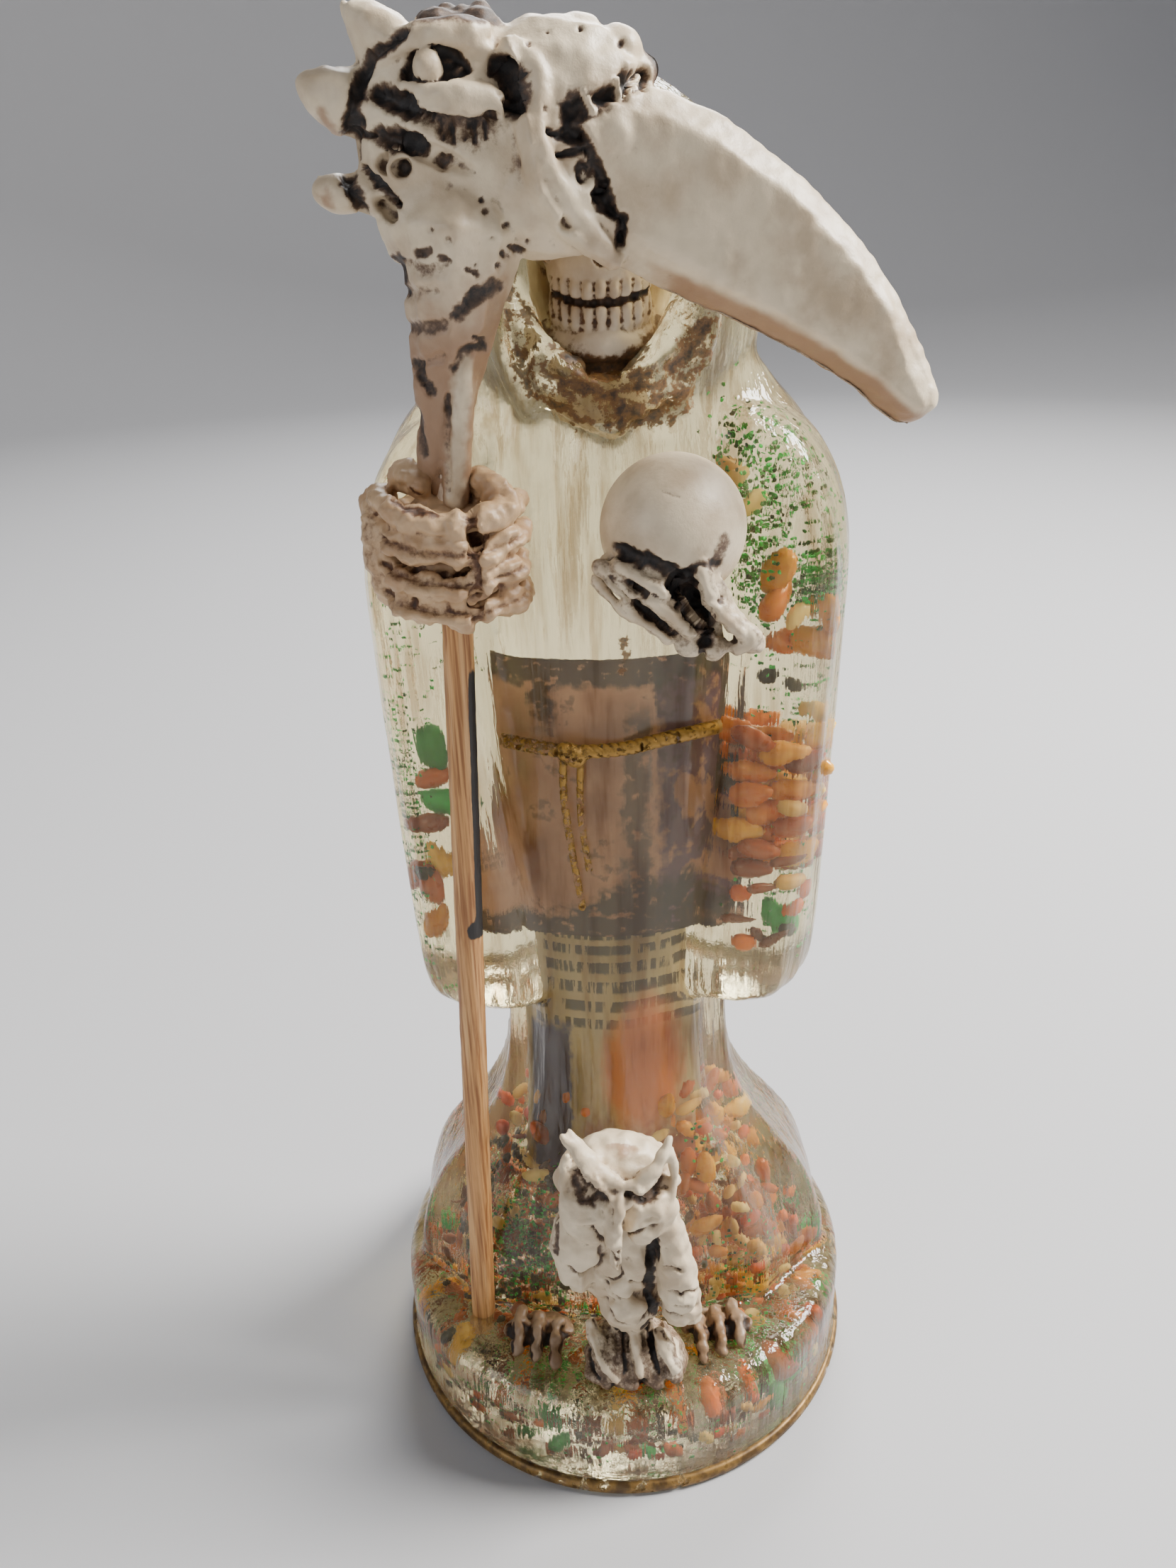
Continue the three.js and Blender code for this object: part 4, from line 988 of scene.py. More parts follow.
def owl():
    lumps = Lumps()
    lumps.solid("owl")
    # brows that run up into the ear tufts, the rims of the face and the beak
    lines = [
        ([(-6.2, -24.2, 38.6), (-5.1, -25, 37.1), (-4, -25.6, 35.8), (-2.8, -26.3, 34.7),
          (-1.6, -26.8, 33.8), (-0.2, -27.2, 33)], (0.4, 0.75, 0.9, 0.85, 0.75, 0.6)),
        ([(-0.2, -27.2, 33), (1.8, -27, 34), (3.3, -26.4, 35.2), (4.3, -25.6, 36.4), (5, -24.6, 37.6)],
         (0.6, 0.75, 0.8, 0.75, 0.4)),
        ([(-6.6, -23.8, 34.4), (-7.1, -24.8, 31.8), (-6.8, -26.2, 29.4), (-5.2, -27.3, 28.6),
          (-3.4, -27.6, 28.8)], (0.5, 0.6, 0.6, 0.5, 0.4)),
        ([(4.8, -25.4, 36), (5.4, -25, 33.2), (5, -26, 30.4), (3.8, -27.2, 28.5), (1.6, -27.6, 28)],
         (0.45, 0.55, 0.55, 0.5, 0.4)),
        ([(-0.6, -27.4, 32.6), (-0.9, -28.5, 31.2), (-1.2, -29, 28.6), (-1.4, -29, 26.4)],
         (0.45, 0.6, 0.65, 0.35)),
        # the hanging wing
        ([(4.4, -25.4, 26.4), (5.3, -25.6, 21), (6, -25.6, 15.4), (5.9, -25, 10.6)], (1.7, 2.2, 2.5, 1.9)),
    ]
    claws = [
        ([(-4.6, -23, 6.4), (-3.7, -25.4, 5), (-2.7, -26.9, 3.8), (-1.7, -27.6, 2.3)],
         (0.9, 1.0, 0.95, 0.6)),
        ([(0.5, -25, 7), (0.9, -26.2, 4.8), (1.2, -27.4, 2.7)], (0.8, 0.85, 0.7)),
        ([(3.5, -24.6, 6.4), (4.5, -26, 4.8), (5.5, -27, 3.2)], (0.85, 1.0, 0.8)),
    ]
    for points, radii in lines + claws:
        lumps.limb(points, radii)
    eggs = [
        ((-5.6, -25, 22.9), (3.3, 2.4, 4.4), 0.15), ((-1, -25.4, 15.6), (1.7, 1.1, 2.1), 0),
        ((-0.2, -25.9, 12.4), (2.2, 1.2, 1.6), 0), ((-2.2, -25.2, 19.2), (1.6, 1, 2), 0),
        ((1.4, -25.2, 18.6), (1.4, 1, 2.2), 0), ((-4.2, -26.2, 1.5), (1.6, 1.3, 1), 0),
        ((-0.2, -27.2, 1.4), (1.5, 1.2, 0.9), 0), ((3, -27.2, 1.4), (1.4, 1.2, 0.9), 0),
        ((5.4, -26.6, 1.5), (1.2, 1.1, 1), 0),
    ]
    for centre, radii, lean in eggs:
        lumps.egg(centre, radii, (0, lean, 0))
    clay = Clay(fuse(lumps.piece("owl_carved", IVORY), voxel=0.22, evening=2))
    clay.stroke([(-5.4, 34.4), (-4.6, 33.2), (-3.4, 32.2), (-2.6, 31.6)], (1.3, 1.9, 1.6, 0.9), -0.9, 0.72)
    clay.stroke([(-5.8, 32.4), (-5.2, 31.2), (-3.8, 31)], 0.9, -0.4, 0.7)
    clay.stroke([(0.4, 32.2), (1.8, 31.2), (3.4, 31.6), (4, 33)], (0.8, 1.2, 1.1, 0.8), -0.8, 0.72)
    clay.stroke([(-3.3, 34.5)], 0.9, 0.6, clean=0.75)
    clay.stroke([(1.35, 33.1)], 0.8, 0.7, clean=0.95)
    clay.stroke([(2, 31.9), (2.9, 31.7)], 0.4, 0.2, clean=0.5)
    # feathers at the neck and the fold round the left wing
    lines = [
        ([(-3.9, 27.4), (-2.9, 25.9), (-1.9, 24.7), (-1.2, 24)], 0.4, 0.7),
        ([(1.8, 27.5), (0.2, 26.4), (-1, 25)], 0.4, 0.7),
        ([(-7, 20.8), (-5.9, 19.6), (-4.6, 19), (-3.5, 19.8), (-3, 21.4), (-3.3, 23.4)], 0.5, 0.6),
        ([(-8.2, 25.5), (-8.5, 22)], 0.5, 0.7),
        ([(-2.6, 13), (-1.6, 11), (0, 10.2), (1.7, 10.8), (2.4, 12.2)], 0.45, 0.55),
        ([(-2.7, 16.4), (-1.4, 14.4), (0.4, 14.6)], 0.4, 0.35),
        ([(-3.4, 18), (-2.2, 17), (-0.8, 17.6)], 0.35, 0.3),
        ([(0.2, 17), (1.4, 16.4), (2.3, 17.2)], 0.3, 0.45),
        ([(-1.2, 23.6), (-1, 20.4), (-0.6, 18)], 0.3, 0.4),
        ([(3.2, 25.2), (2.9, 21.5), (2.5, 18), (2.5, 14.4), (3.1, 10.8), (4.2, 8.4)], (0.6, 0.9, 0.9), 1),
        ([(4.1, 16.6), (5, 17.2), (6, 16.4)], 0.4, 0.45), ([(6, 16.4), (7, 16.9), (7.9, 16)], 0.4, 0.4),
        ([(4.3, 12.4), (5.2, 12.9), (6.2, 12.2)], 0.4, 0.5),
        ([(6.2, 12.2), (7.2, 12.9), (8, 12.3)], 0.4, 0.5),
        ([(4, 20.6), (5, 21), (6, 20.4)], 0.3, 0.4), ([(5.4, 14.6), (6.2, 15), (7, 14.4)], 0.3, 0.5),
        ([(-8, 16), (-6.4, 13.2), (-4.6, 11.4), (-3.6, 9.4)], 0.7, 0.75),
        ([(-4.8, 8.8), (-3.4, 7.4), (-1.6, 7.6)], 1.0, 0.95),
        ([(-0.9, 7), (-0.7, 5), (-0.6, 3.2)], 0.55, 1), ([(2.4, 6.6), (2.8, 4.8), (3.2, 3)], 0.55, 1),
        ([(-6, 5), (-5.4, 3), (-3.8, 2.6)], 0.55, 0.95), ([(1.9, 8.4), (3.6, 7.2), (5.8, 6.6)], 0.8, 0.9),
        ([(-2.2, 1.6), (-2.2, 0.4)], 0.5, 0.9), ([(1.4, 1.6), (1.4, 0.4)], 0.5, 0.9),
        ([(4.4, 1.6), (4.4, 0.4)], 0.5, 0.9),
    ]
    for spots, width, wash in lines:
        clay.stroke(spots, width, -0.4, wash)
    clay.wash = np.maximum(clay.wash, 0.5 * ((8 - clay.place[:, 2]) / 3).clip(0, 1))
    for points, radii in claws:
        clay.stroke([(x, height) for x, y, height in points], 0.7 * min(radii), 0.2, clean=0.85)
    clay.stroke([(-2, 36.6), (0, 35.6), (1.8, 36.4)], 1.5, tone_and_shade=0.8)
    clay.tone_and_shade = np.maximum(clay.tone_and_shade, ((4 - clay.place[:, 2]) / 5).clip(0, 0.8))
    clay.roughen(1.5, 0.4)
    return clay.done(times=26, gain=3)


def bamboo_stick():
    low = np.array(on_stick(STICK_FOOT[2]))
    high = np.array(on_stick(STICK_TOP))
    angle = np.arange(40) * 2 * math.pi / 40
    ring = STICK_RADIUS * np.column_stack((np.cos(angle), np.sin(angle), 0 * angle))
    lumps = Lumps()
    lumps.rings([low + (high - low) * share + ring for share in np.linspace(0, 1, 160)])
    piece = lumps.piece("bamboo_stick", bamboo_finish())
    piece.data.attributes.remove(piece.data.attributes["shade"])
    clay = Clay(piece)
    height = clay.place[:, 2]
    axis = np.array([on_stick(h)[:2] for h in height])
    right, behind = ((clay.place[:, :2] - axis) / STICK_RADIUS).T
    band = np.clip((height - 58) / 4, 0, 1) * np.clip((92 - height) / 4, 0, 1)
    clay.wash = band * np.clip((right - 0.6) * 4 + 0.5, 0, 1) * np.clip(0.9 - 2 * behind, 0, 1)
    blob = np.exp(-((height - 60.5) / 1.3) ** 2) * np.clip(right + 0.6, 0, 1)
    clay.wash = np.maximum(clay.wash, blob)
    clay.tone_and_shade = np.clip((height - 101) / 3, 0, 1)
    clay.roughen(1.5, 0.05)
    return clay.done()


# What is sealed in the resin

def kernel(radii, taper):
    """A seed about the origin: an egg that narrows to one end, thin from front to back."""
    places, faces = BALLS[2]
    narrow = 1 - taper * (places[:, :1] + 1) / 2
    return places * radii * np.concatenate((np.ones_like(narrow), narrow, narrow), axis=1), faces


def flake():
    """A six-sided flake of glitter about the origin."""
    bm = bmesh.new()
    bmesh.ops.create_cone(
        bm, cap_ends=True, cap_tris=True, segments=6, radius1=FLAKE_RADIUS, radius2=FLAKE_RADIUS,
        depth=FLAKE_THICKNESS, matrix=Matrix.Rotation(math.pi / 6, 4, "Z"),
    )
    return taken_from(bm)


SEEDS = {
    "corn": kernel((2.6, 1.2, 2.0), 0.45),
    "bean": kernel((2.4, 1.1, 1.4), 0.15),
    "pale": kernel((1.8, 0.9, 1.15), 0.3),
    "flax": kernel((2.2, 0.5, 1.0), 0.75),
    "lentil": kernel((1.3, 0.85, 1.25), 0.1),
    "black": kernel((1.0, 0.8, 0.9), 0.1),
    "green": kernel((2.9, 1.2, 1.9), 0.1),
}
# kind and place of the seeds that show through the sleeves and the foot of the robe
SLEEVE_SEEDS = [
    ("bean", 20.8, -9, 76.0), ("corn", 22.0, -8, 74.2), ("corn", 15.1, -9, 72.2), ("corn", 15.4, -8, 74.5),
    ("corn", 19.4, -8, 72.3), ("pale", 19.3, -10, 70.8), ("bean", 19.4, -9, 68.2), ("corn", 21.6, -8, 68.9),
    ("pale", 22.0, -7.5, 71.4), ("bean", 16.2, -9, 65.4), ("corn", 20.4, -7, 64.1),
    ("flax", 19.2, -10, 64.3),
    ("pale", 19.4, -9, 61.2), ("lentil", 14.3, -9, 59.8), ("lentil", 20.9, -9, 59.5),
    ("lentil", 19.9, -9, 57.6),
    ("flax", 16.7, -10, 60.9), ("flax", 14.1, -9, 56.4), ("flax", 16.6, -9, 53.8),
    ("flax", 17.9, -10, 54.1),
    ("green", 18.4, -7, 55.8), ("black", 19.2, -9.5, 54.9), ("lentil", 14.8, -9, 53.3),
    ("corn", 17.3, -9, 96.9),
    ("corn", 17.2, -9, 94.0), ("corn", 21.9, -8, 92.2), ("corn", 21.2, -8, 89.0), ("pale", 19.2, -9, 92.4),
    ("corn", 19.3, -6, 88.9), ("pale", 14.6, -8, 103.5), ("pale", 12.9, -7, 105.7), ("pale", 12.2, -6, 107),
    ("black", 16.8, -8, 85.7), ("black", 19.2, -8, 84.7), ("pale", 21.2, -8, 81.4),
    ("corn", 22.2, -7, 78.5),
    ("corn", 18, -6, 75.4), ("corn", 17.4, -7, 69.4), ("corn", 18.2, -6, 66.6), ("bean", 22, -5, 66.4),
    ("corn", 22.6, -4, 72.6), ("corn", 21.6, -4, 76.2), ("corn", 23, -3, 69.4), ("bean", 21.6, -4, 62.6),
    ("green", -18.7, -8, 79.0), ("green", -18.0, -7, 72.0), ("bean", -19.1, -8, 75.4),
    ("bean", -20.1, -8, 69.7),
    ("corn", -19.3, -7, 64.8), ("bean", -21.6, -7, 62.5), ("black", -21.0, -8, 63.3),
    ("bean", -20, -8, 61.5),
    ("corn", -20.2, -8, 57.0),
]
HEAP_SEEDS = [
    ("pale", -12.2, -11, 28), ("pale", -13, -11, 24), ("bean", -10.1, -13, 24.5), ("lentil", -15, -12, 22),
    ("pale", -11, -14, 19.1), ("pale", 8.4, -13, 28), ("corn", 10.5, -14, 19.5), ("bean", 8.3, -14, 20.1),
    ("bean", 11, -10, 29), ("corn", 10.6, -15, 11.5), ("bean", 19, -19, -6.5), ("lentil", 9.5, -24, -6),
    ("green", 17.5, -19.5, -10),
]


def heap_spots(count, draw):
    """Spots for loose seeds: heaps at both sides of the robe's foot, more of them on the right."""
    for _ in range(count):
        side = 1 if draw.random() < 0.6 else -1
        height = -9 + 39 * draw.random() ** 1.3
        rise = max(0, height) / 32
        across = side * (25 - 14 * rise) * draw.uniform(0.3, 0.98)
        yield [across, -draw.uniform(0.1, 0.97) * (17 - 8 * rise), height]


def seed_finishes():
    return {
        "corn": plain_finish("corn_skin", tone(216, 104, 0), tone(255, 204, 50), 1.2, 0.3, coat=0.6),
        "bean": plain_finish("bean_skin", tone(128, 44, 6), tone(206, 102, 20), 1.5, 0.3, coat=0.6),
        "pale": plain_finish("pale_seed", tone(232, 184, 92), tone(252, 230, 160), 1.0, 0.4, coat=0.3),
        "flax": plain_finish("flax_skin", tone(80, 34, 16), tone(146, 70, 34), 0.8, 0.3, coat=0.4),
        "lentil": plain_finish("lentil_skin", tone(206, 64, 0), tone(246, 132, 14), 0.9, 0.4, coat=0.3),
        "black": plain_finish("black_seed", tone(24, 24, 26), tone(62, 58, 56), 0.8, 0.5),
        "green": plain_finish("green_bead", tone(4, 128, 44), tone(30, 208, 96), 1.4, 0.4),
    }


def sealed_things(body):
    """Seeds and glitter in the clear body, dropped in the same way on each run."""
    draw = random.Random(7)
    body_tree = BVHTree.FromObject(body, bpy.context.evaluated_depsgraph_get())
    # resin over the middle of a seed, and of a small loose one
    cover = 1.5
    small_cover = 1.4

    def depth_inside(spot):
        place = at(*spot)
        found, out, _, away = body_tree.find_nearest(place)
        return away / MM if (place - found).dot(out) < 0 else -away / MM

    finishes = seed_finishes()
    kinds = {kind: Lumps() for kind in finishes}

    def drop(kind, spot, spin, size=1.0):
        places, faces = SEEDS[kind]
        turn = Euler((draw.uniform(-0.5, 0.5), spin, draw.uniform(-0.5, 0.5)))
        kinds[kind].put(size * places @ np.array(turn.to_matrix()).T + spot, faces, draw.random())

    taken = []
    for kind, *spot in SLEEVE_SEEDS + HEAP_SEEDS:
        while depth_inside(spot) < cover and spot[1] < -1:
            spot[1] += 0.4
        # the seeds half way up the right sleeve lie flat on each other
        stacked = spot[0] > 0 and 60 < spot[2] < 79
        drop(kind, spot, draw.uniform(-0.35, 0.35) if stacked else draw.uniform(-math.pi, math.pi))
        taken.append(spot)
    # the right sleeve is packed half way up
    for _ in range(260):
        spot = [draw.uniform(14, 23.5), draw.uniform(-9.5, -1), draw.uniform(62, 79)]
        if depth_inside(spot) > cover and all(math.dist(spot, other) > 2.3 for other in taken):
            kind = draw.choice(["corn"] * 3 + ["bean", "pale", "lentil"])
            drop(kind, spot, draw.uniform(-0.4, 0.4))
            taken.append(spot)
    # sediment in the base, clear of its underside
    for _ in range(1200):
        angle = draw.uniform(0, 2 * math.pi)
        reach = 27 * math.sqrt(draw.random())
        size = draw.uniform(0.5, 0.8)
        height = draw.uniform(2.7 * size + (0.4 - BASE_HEIGHT), -8)
        spot = [reach * math.cos(angle), reach * math.sin(angle), height]
        if all(math.dist(spot, other) > 1.6 for other in taken):
            kind = draw.choice(
                ["bean"] * 4 + ["flax"] * 6 + ["lentil"] * 2 + ["black"] * 4 + ["pale", "corn", "green"],
            )
            drop(kind, spot, draw.uniform(-math.pi, math.pi), size)
            taken.append(spot)
    bright = ["pale"] * 6 + ["corn"] * 5 + ["lentil"] * 5 + ["bean"] * 4 + ["flax"] * 3 + ["black"]
    dull = ["flax"] * 4 + ["black"] * 9 + ["bean"] * 2 + ["pale"]
    for spot in heap_spots(1300, draw):
        dark_heap = spot[0] < 0 and -4 < spot[2] < 21
        kind = draw.choice(dull if dark_heap else bright)
        gap = 1.4 if dark_heap else 2.0
        if depth_inside(spot) < small_cover or any(math.dist(spot, other) < gap for other in taken):
            continue
        drop(kind, spot, draw.uniform(-math.pi, math.pi), draw.uniform(0.6, 0.9))
        taken.append(spot)
    for kind, lumps in kinds.items():
        lumps.piece(kind + "_seeds", finishes[kind])
    # centre, half size and number of flakes of each drift of glitter
    drifts = [
        ((16, -6, 106), (5, 3, 9), 760), ((12.5, -7, 104), (2, 2, 4), 220),
        ((15, -8, 98), (2.4, 2, 8), 420), ((21, -7, 95), (3, 2, 4), 420), ((20, -7, 82), (4, 2, 6), 110),
        ((20, -7, 62), (4, 2.5, 12), 200), ((-21.5, -6, 70), (2, 3, 24), 520),
        ((-17, -7, 92), (3, 2, 6), 60), ((-13, -12, 10), (7, 4, 13), 1800),
        ((16, -15, 3), (8, 5, 10), 700), ((0, -18, -9), (26, 9, 4), 900), ((12, -10, 24), (4, 3, 6), 100),
    ]
    flakes = Lumps()
    places, faces = flake()
    for centre, spread, count in drifts:
        for _ in range(count):
            spot = [c + draw.gauss(0, 0.55) * r for c, r in zip(centre, spread)]
            turn = Euler([draw.uniform(0, math.pi) for _ in range(3)])
            if depth_inside(spot) > 0.5:
                flakes.put(places @ np.array(turn.to_matrix()).T + spot, faces, draw.random())
    glitter = plain_finish(
        "glitter", tone(0, 34, 12), tone(30, 224, 96), 0.7, 0.35, metal=0.25, relief=0.02,
    )
    flakes.piece("green_glitter", glitter)
    return [bpy.data.objects[name] for name in [*(kind + "_seeds" for kind in kinds), "green_glitter"]]


def paper_slip(name, rows, finish, columns=48, lines=60):
    """A thin bent slip: rows of (height, left edge, right edge, y in the middle, y at the edges)."""
    bm = bmesh.new()
    bm.loops.layers.uv.new("paper")
    bmesh.ops.create_grid(bm, x_segments=columns, y_segments=lines, size=0.5, calc_uvs=True)
    for vert in bm.verts:
        across = vert.co.x + 0.5
        up = vert.co.y + 0.5
        height, left, right, middle, edge = along(rows, up)
        crease = 0.16 * noise.noise(Vector((across * 5, up * 5, len(name))))
        y = middle + (edge - middle) * (2 * across - 1) ** 2 + crease
        vert.co = at(left + (right - left) * across, y, height)
    mesh = bpy.data.meshes.new(name)
    bm.to_mesh(mesh)
    bm.free()
    slip = placed(mesh, finish)
    thick = slip.modifiers.new("thickness", "SOLIDIFY")
    thick.thickness = PAPER_THICKNESS * MM
    thick.offset = 0
    apply_modifiers(slip)
    slip.data.shade_smooth()
    return slip


def upper_slip_finish():
    """A faded rose-brown print: dark borders above and below, dark blotches and violet clouds."""
    finish = Finish("upper_slip_print", Roughness=0.75)
    paper = finish.add("ShaderNodeUVMap", {"uv_map": "paper"})
    across = finish.add("ShaderNodeSeparateXYZ", None, {0: paper})
    up = Wire(finish, across.socket.node.outputs[1])
    cloud = finish.add("ShaderNodeTexNoise", None, {"Vector": paper, "Scale": 5.0, "Detail": 5.0})
    fine = finish.add("ShaderNodeTexNoise", None, {"Vector": paper, "Scale": 22.0, "Detail": 6.0})
    ragged = (cloud - 0.5) * 0.22 + (fine - 0.5) * 0.12
    torn = across + ragged
    base = finish.tinted(cloud.step(0.3, 0.7), tone(178, 132, 116), tone(216, 172, 154))
    violet = torn.step(0.64, 0.7) * (fine * 0.35 + cloud * 0.8).step(0.5, 0.58)
    base = finish.tinted(violet * 0.9, base, tone(96, 68, 108))
    top = (up + ragged * 0.7).step(0.85, 0.9)
    foot = 0.09 + (0.2 - (across - 0.66) * (across - 0.66) * 2).most(0) * 0.7
    bottom = 1 - (up + ragged * 1.1 - foot).step(0, 0.05)
    middle = torn.step(0.5, 0.54) * (1 - torn.step(0.6, 0.64)) * (1 - up.step(0.72, 0.84))
    left = torn.step(0.2, 0.24) * (1 - torn.step(0.28, 0.32)) * up.step(0.66, 0.8)
    right = (across + ragged * 0.6).step(0.93, 0.96)
    blots = top.most(bottom).most(middle * 0.8).most(left).most(right) * fine.step(0.3, 0.45)
    base = finish.tinted(blots * 0.9, base, tone(58, 50, 58))
    specks = cloud.step(0.56, 0.6) * (1 - cloud.step(0.62, 0.66)) * fine.step(0.45, 0.55)
    base = finish.tinted(specks * 0.55, base, tone(84, 66, 74))
    finish.set("Base Color", base)
    finish.relief(fine, 0.3, 0.1)
    return finish.material


def lower_slip_finish():
    """A beige ticket: rows of short grey strokes, a blue bar, an orange oval and a red foot."""
    finish = Finish("lower_slip_print", Roughness=0.75)
    paper = finish.add("ShaderNodeUVMap", {"uv_map": "paper"})
    across = finish.add("ShaderNodeSeparateXYZ", None, {0: paper})
    up = Wire(finish, across.socket.node.outputs[1])
    fine = finish.add("ShaderNodeTexNoise", None, {"Vector": paper, "Scale": 18.0, "Detail": 6.0})
    cloud = finish.add("ShaderNodeTexNoise", None, {"Vector": paper, "Scale": 4.0, "Detail": 4.0})
    ragged = (fine - 0.5) * 0.1
    base = finish.tinted(cloud.step(0.3, 0.7), tone(176, 160, 128), tone(212, 198, 168))
    rows = (up * 15).maths("FRACT", up * 15, 0).step(0.35, 0.5)
    stretched = finish.add("ShaderNodeMapping", None, {"Vector": paper, "Scale": (34, 5, 1)})
    strokes = finish.add("ShaderNodeTexNoise", None, {"Vector": stretched, "Scale": 1.0, "Detail": 1.0})
    written = rows * strokes.step(0.42, 0.5) * (up + ragged).step(0.6, 0.64) * across.step(0.06, 0.1)
    base = finish.tinted(written * 0.85, base, tone(52, 48, 52))
    bar = (1 - (across + ragged).step(0.24, 0.28)) * (1 - (up + ragged).step(0.6, 0.66))
    base = finish.tinted(bar * across.step(0.02, 0.05) * 0.85, base, tone(48, 60, 140))
    oval_x = (across - 0.7) * 3.6
    oval_y = (up - 0.46) * 3
    oval = 1 - (oval_x * oval_x + oval_y * oval_y + ragged * 3).step(0.3, 1.0)
    base = finish.tinted(oval * 0.85, base, tone(222, 116, 44))
    foot = 1 - (up + ragged * 2 + (cloud - 0.5) * 0.3).step(0.14, 0.3)
    base = finish.tinted(foot * across.step(0.25, 0.4) * 0.85, base, tone(140, 48, 30))
    finish.set("Base Color", base)
    finish.relief(fine, 0.3, 0.1)
    return finish.material


def paper_slips():
    upper = [
        (54, -16, 15.8, -8.2, -4), (65, -15.6, 15.6, -8.4, -4), (78, -14.8, 15.2, -8.3, -4),
        (88, -14.2, 15, -8, -4),
    ]
    lower = [
        (20, -11.6, 9.4, -11.6, -8.6), (30, -11.4, 9.2, -9.4, -6.6), (42, -11, 9, -8.2, -5),
        (54, -10.8, 9, -7.4, -4.4),
    ]
    return [
        paper_slip("upper_slip", upper, upper_slip_finish()),
        paper_slip("lower_slip", lower, lower_slip_finish()),
    ]


# Gold and brown brushed on the clear casting

def cord_belt():
    """Three strands twisted together, with a knot and two tails, brushed with gold."""
    front = -10.8
    low = 80
    runs = [
        ([(-12.2, front + 4.2, low - 1.6), (-9, front + 1.9, low - 1.4), (-4.4, front - 0.1, low - 1.4),
          (1, front - 0.3, low - 1.2), (6, front + 0.3, low - 0.4), (9.8, front + 2, low - 0.4),
          (12.4, front + 4.2, low - 0.8)], 0.46),
        ([(-5.3, front - 0.1, low - 2.2), (-5.2, front, low - 9), (-3.8, front, 59)], 0.26),
        ([(-3.4, front - 0.1, low - 2.2), (-3.6, front, low - 9), (-2.9, front, 64)], 0.24),
    ]
    places, faces = BALLS[1]
    lumps = Lumps()
    for points, strand in runs:
        length = sum(math.dist(a, b) for a, b in zip(points, points[1:]))
        steps = max(8, round(length / (0.35 * strand)))
        for turn in range(3):
            for step in range(steps + 1):
                share = step / steps
                ahead = along(points, min(1, share + 0.01)) - along(points, max(0, share - 0.01))
                ahead = Vector(ahead).normalized()
                side = ahead.cross(Vector((0, 1, 0))).normalized()
                angle = turn * 2 * math.pi / 3 + share * length / (TWIST * strand) * 2 * math.pi
                off = (side * math.cos(angle) + ahead.cross(side) * math.sin(angle)) * strand * 0.95
                lumps.put(places * strand + along(points, share) + off, faces)
    lumps.egg((-4.6, front - 0.4, low - 1.4), (1.5, 1.1, 1.1), (0.2, 0.5, 0), 3)
    lumps.egg((-3.9, front - 0.5, low - 1.9), (1.2, 1.0, 1.3), (0.2, -0.6, 0), 3)
    clay = Clay(fuse(lumps.piece("cord_belt", gold_finish()), voxel=0.18, evening=1))
    # the gold is worn off most of the tails and the left of the belt
    tails = ((76 - clay.place[:, 2]) / 6).clip(0, 0.5)
    left = ((-2 - clay.place[:, 0]) / 12).clip(0, 0.4)
    clay.wash = np.maximum(tails, left)
    return clay.done(times=16, gain=5)


def gold_finish():
    finish = Finish("brushed_gold", Metallic=0.55)
    worn = finish.grain(0.8, 5)
    hollow = finish.carried("hollow")
    base = finish.tinted((worn + hollow * 0.5).step(0.35, 0.75), tone(158, 122, 58), tone(62, 46, 22))
    finish.set("Base Color", base)
    finish.set("Roughness", worn * 0.35 + 0.3)
    finish.set("Alpha", (worn - finish.carried("wash") * 0.3 - hollow * 0.1).step(0.34, 0.5))
    finish.relief(worn, 0.6, 0.25)
    return finish.material


def gold_rim():
    """The thin line of gold brushed round the bead of the base."""
    profile = [(-0.2, 0.1), (0.12, 0.5), (0.12, 1.2), (-0.5, 2.2), (-0.55, 1.7)]
    line = [(BASE_RADIUS + radius, height - BASE_HEIGHT) for radius, height in profile]
    lumps = Lumps()
    lumps.put(*spun(line, 180, ring=True))
    finish = Finish("worn_gold_line", Metallic=0.5, Roughness=0.45)
    worn = finish.grain(2.2, 5)
    finish.set("Base Color", finish.tinted(worn.step(0.4, 0.65), tone(150, 116, 62), tone(84, 62, 34)))
    finish.set("Alpha", worn.step(0.3, 0.5) * 0.9)
    return lumps.piece("gold_rim", finish.material)


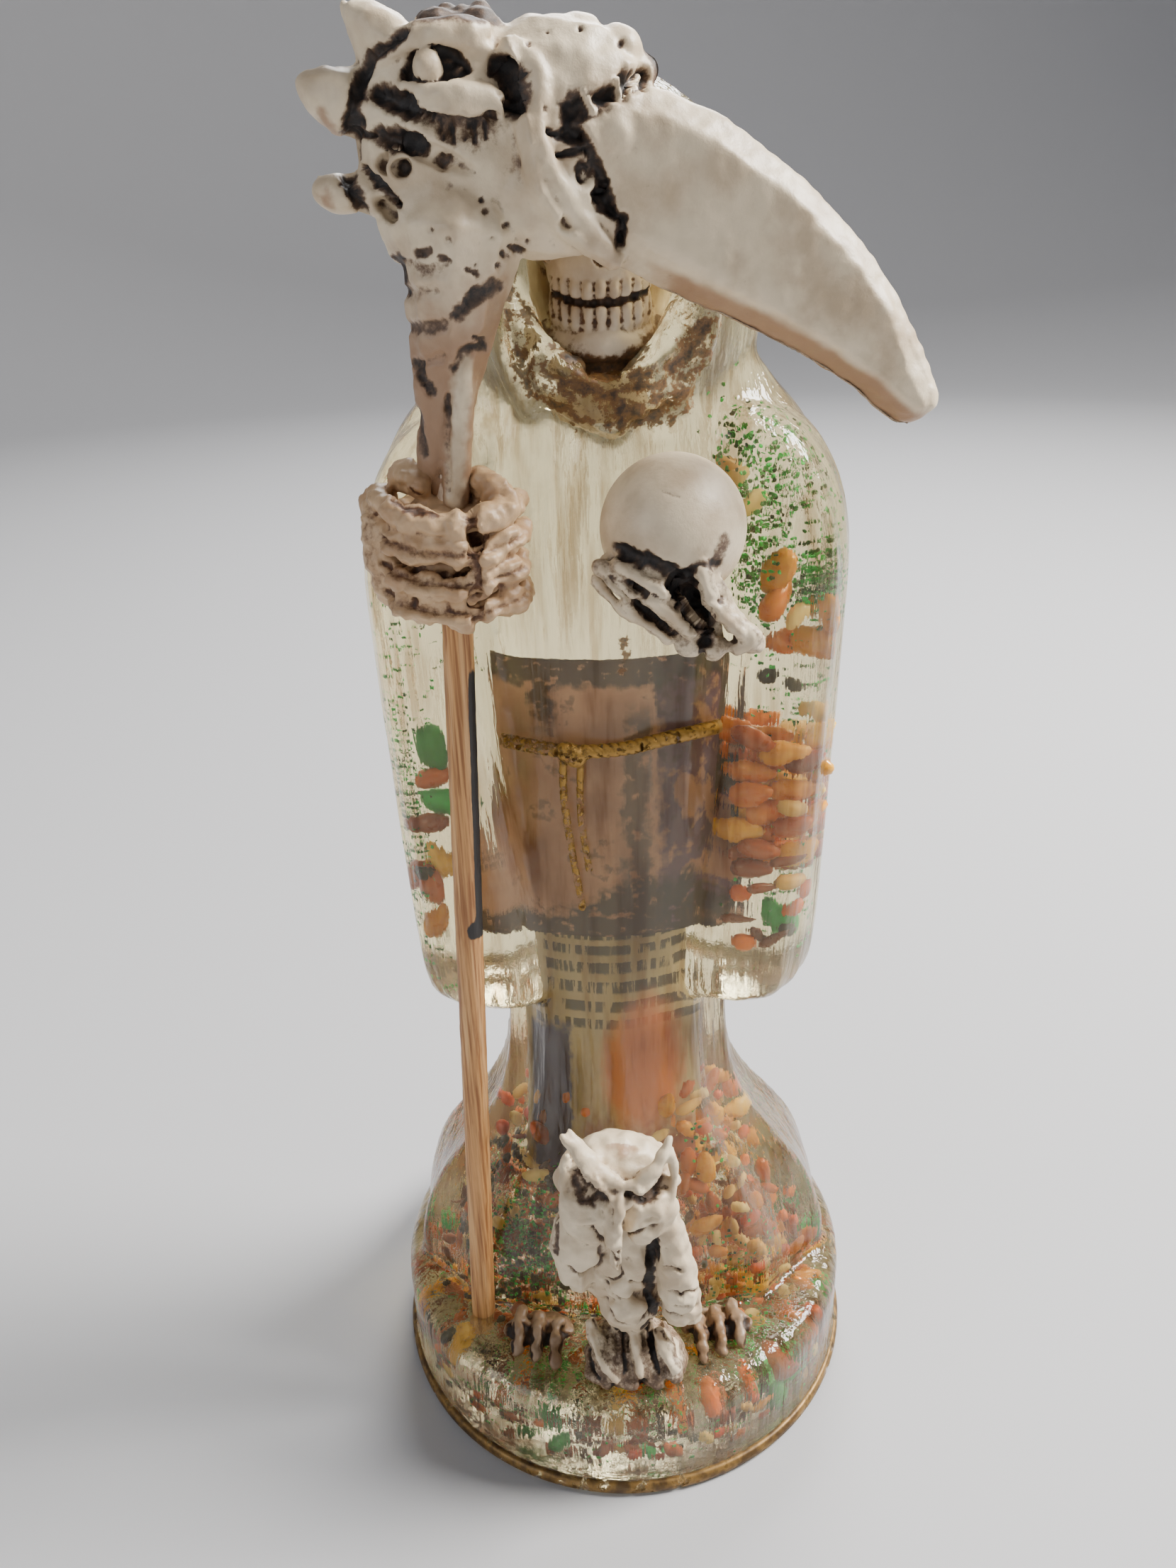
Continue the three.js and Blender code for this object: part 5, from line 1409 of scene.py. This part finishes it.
def patina(body):
    """Brown antiquing left on the collar, the hood's edge and the hollows round the neck."""
    clay = Clay(body)
    for spots, width in COLLAR_CREASES:
        near, off = clay.near_line(spots, width * 1.7)
        clay.wash[near] = np.maximum(clay.wash[near], 1.0 - off)
    fields = [
        ([(-6.4, 123), (-7.2, 119), (-6, 116), (-3, 114.2), (1, 112.8)], 2.8, 0.62),
        ([(8.6, 121), (8, 117), (5.6, 113.4)], 3, 0.6), ([(-2, 116.6), (3, 116.4)], 2.4, 0.7),
        ([(2.4, 112.8), (5, 112.6), (7.6, 114.2)], 2.4, 0.85), ([(-8.6, 127.6), (-8.8, 123.6)], 1.6, 0.6),
        ([(1.4, 90.5), (1.6, 88.9), (1.3, 87.4)], 0.8, 0.9),
    ]
    for spots, width, amount in fields:
        near, off = clay.near_line(spots, width)
        clay.wash[near] = np.maximum(clay.wash[near], amount * (1 - off**2))
    # a film just clear of the casting, where there is any wash
    clear_of = 0.07
    mesh = body.data.copy()
    mesh.name = "brown_patina"
    mesh.materials.clear()
    film = (clay.place + clay.out * clear_of + (0, 0, BASE_HEIGHT)) * MM
    mesh.vertices.foreach_set("co", film.ravel())
    mesh.attributes["wash"].data.foreach_set("value", clay.wash.astype(np.float32))
    bm = bmesh.new()
    bm.from_mesh(mesh)
    wash = bm.verts.layers.float["wash"]
    bare = [face for face in bm.faces if max(vert[wash] for vert in face.verts) <= 0.02]
    bmesh.ops.delete(bm, geom=bare, context="FACES")
    bm.to_mesh(mesh)
    bm.free()
    finish = Finish("brown_patina", Roughness=0.5)
    amount = finish.carried("wash")
    ragged = finish.grain(0.55, 6, rough=0.7)
    broad = finish.grain(2.2, 4, shift=(2, 5, 3))
    here = amount + (ragged - 0.5) * 1.8 + (broad - 0.5) * 1.8
    finish.set("Base Color", finish.tinted(here.step(0.55, 1.25), tone(118, 80, 38), tone(40, 25, 14)))
    finish.set("Alpha", here.step(0.48, 0.72) * 0.9)
    return placed(mesh, finish.material)


body = clear_body()
figure = [
    body, skull_face(), fist(), toes(), cord_belt(), gold_rim(), patina(body),
    *sealed_things(body), *paper_slips(),
]
own_pieces = [
    (scythe_head(), "scythe_head", "ivory_resin"), (globe_hand(), "globe_hand", "ivory_resin"),
    (owl(), "owl", "ivory_resin"), (bamboo_stick(), "scythe_shaft", "bamboo"),
]
for piece in figure:
    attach(piece, "root")
    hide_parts("resin_body")
for piece, node, slot in own_pieces:
    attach(piece, "root")
    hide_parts(node)


# Floor, light and camera

def studio():
    """A round paper floor that bends up into a wall, a pale sky and three soft lamps."""
    level = -0.1 - BASE_HEIGHT
    reach = 900
    bend = 350
    wall_top = 900
    profile = [(0, level), (reach, level)]
    for step in range(1, 13):
        angle = step / 12 * math.pi / 2
        profile.append((reach + bend * math.sin(angle), level + bend - bend * math.cos(angle)))
    profile.append((reach + bend, wall_top))
    bowl = Lumps()
    bowl.put(*spun(profile, 96))
    paper = Finish("floor_paper", Base_Color=(0.42, 0.42, 0.43, 1), Roughness=0.9)
    bowl.piece("floor", paper.material)
    world = bpy.data.worlds.new("room")
    bpy.context.scene.world = world
    world.use_nodes = True
    sky = world.node_tree.nodes["Background"].inputs
    sky["Color"].default_value = (0.86, 0.9, 1, 1)
    sky["Strength"].default_value = 0.26
    # name, place in metres, width, watts and colour
    lights = [
        ("key", (0.48, 0.06, 0.52), 0.3, 16.0, (1, 0.97, 0.93)),
        ("fill", (-0.55, -0.5, 0.36), 0.5, 1.6, (0.94, 0.96, 1)),
        ("back", (0.1, 0.6, 0.6), 0.4, 7.0, (1, 1, 1)),
    ]
    for name, place, size, power, colour in lights:
        lamp = bpy.data.lights.new(name, "AREA")
        lamp.shape = "DISK"
        lamp.size = size
        lamp.energy = power
        lamp.color = colour
        thing = bpy.data.objects.new(name, lamp)
        thing.location = place
        aim = Vector((0, 0, 0.08)) - Vector(place)
        thing.rotation_euler = aim.to_track_quat("-Z", "Y").to_euler()
        bpy.context.scene.collection.objects.link(thing)


def camera():
    """The photograph's view, found from the stick's lean and the round of the base."""
    down = math.radians(26.3)
    roll = math.radians(-2)
    # in the photograph's own pixels
    focal_length = 1661
    picture_height = 2212
    ahead = Vector((0, math.cos(down), -math.sin(down)))
    right0 = Vector((1, 0, 0))
    up0 = Vector((0, math.sin(down), math.cos(down)))
    right = math.cos(roll) * right0 + math.sin(roll) * up0
    up = -math.sin(roll) * right0 + math.cos(roll) * up0
    lens = bpy.data.cameras.new("camera")
    lens.sensor_fit = "VERTICAL"
    lens.sensor_height = 36
    lens.lens = lens.sensor_height * focal_length / picture_height
    lens.clip_start = 0.01
    eye = bpy.data.objects.new("camera", lens)
    place = Matrix((right, up, -ahead)).transposed().to_4x4()
    place.translation = Vector((-2.7, -123.8, 145.5)) * MM
    eye.matrix_world = place
    bpy.context.scene.collection.objects.link(eye)
    bpy.context.scene.camera = eye


studio()
camera()
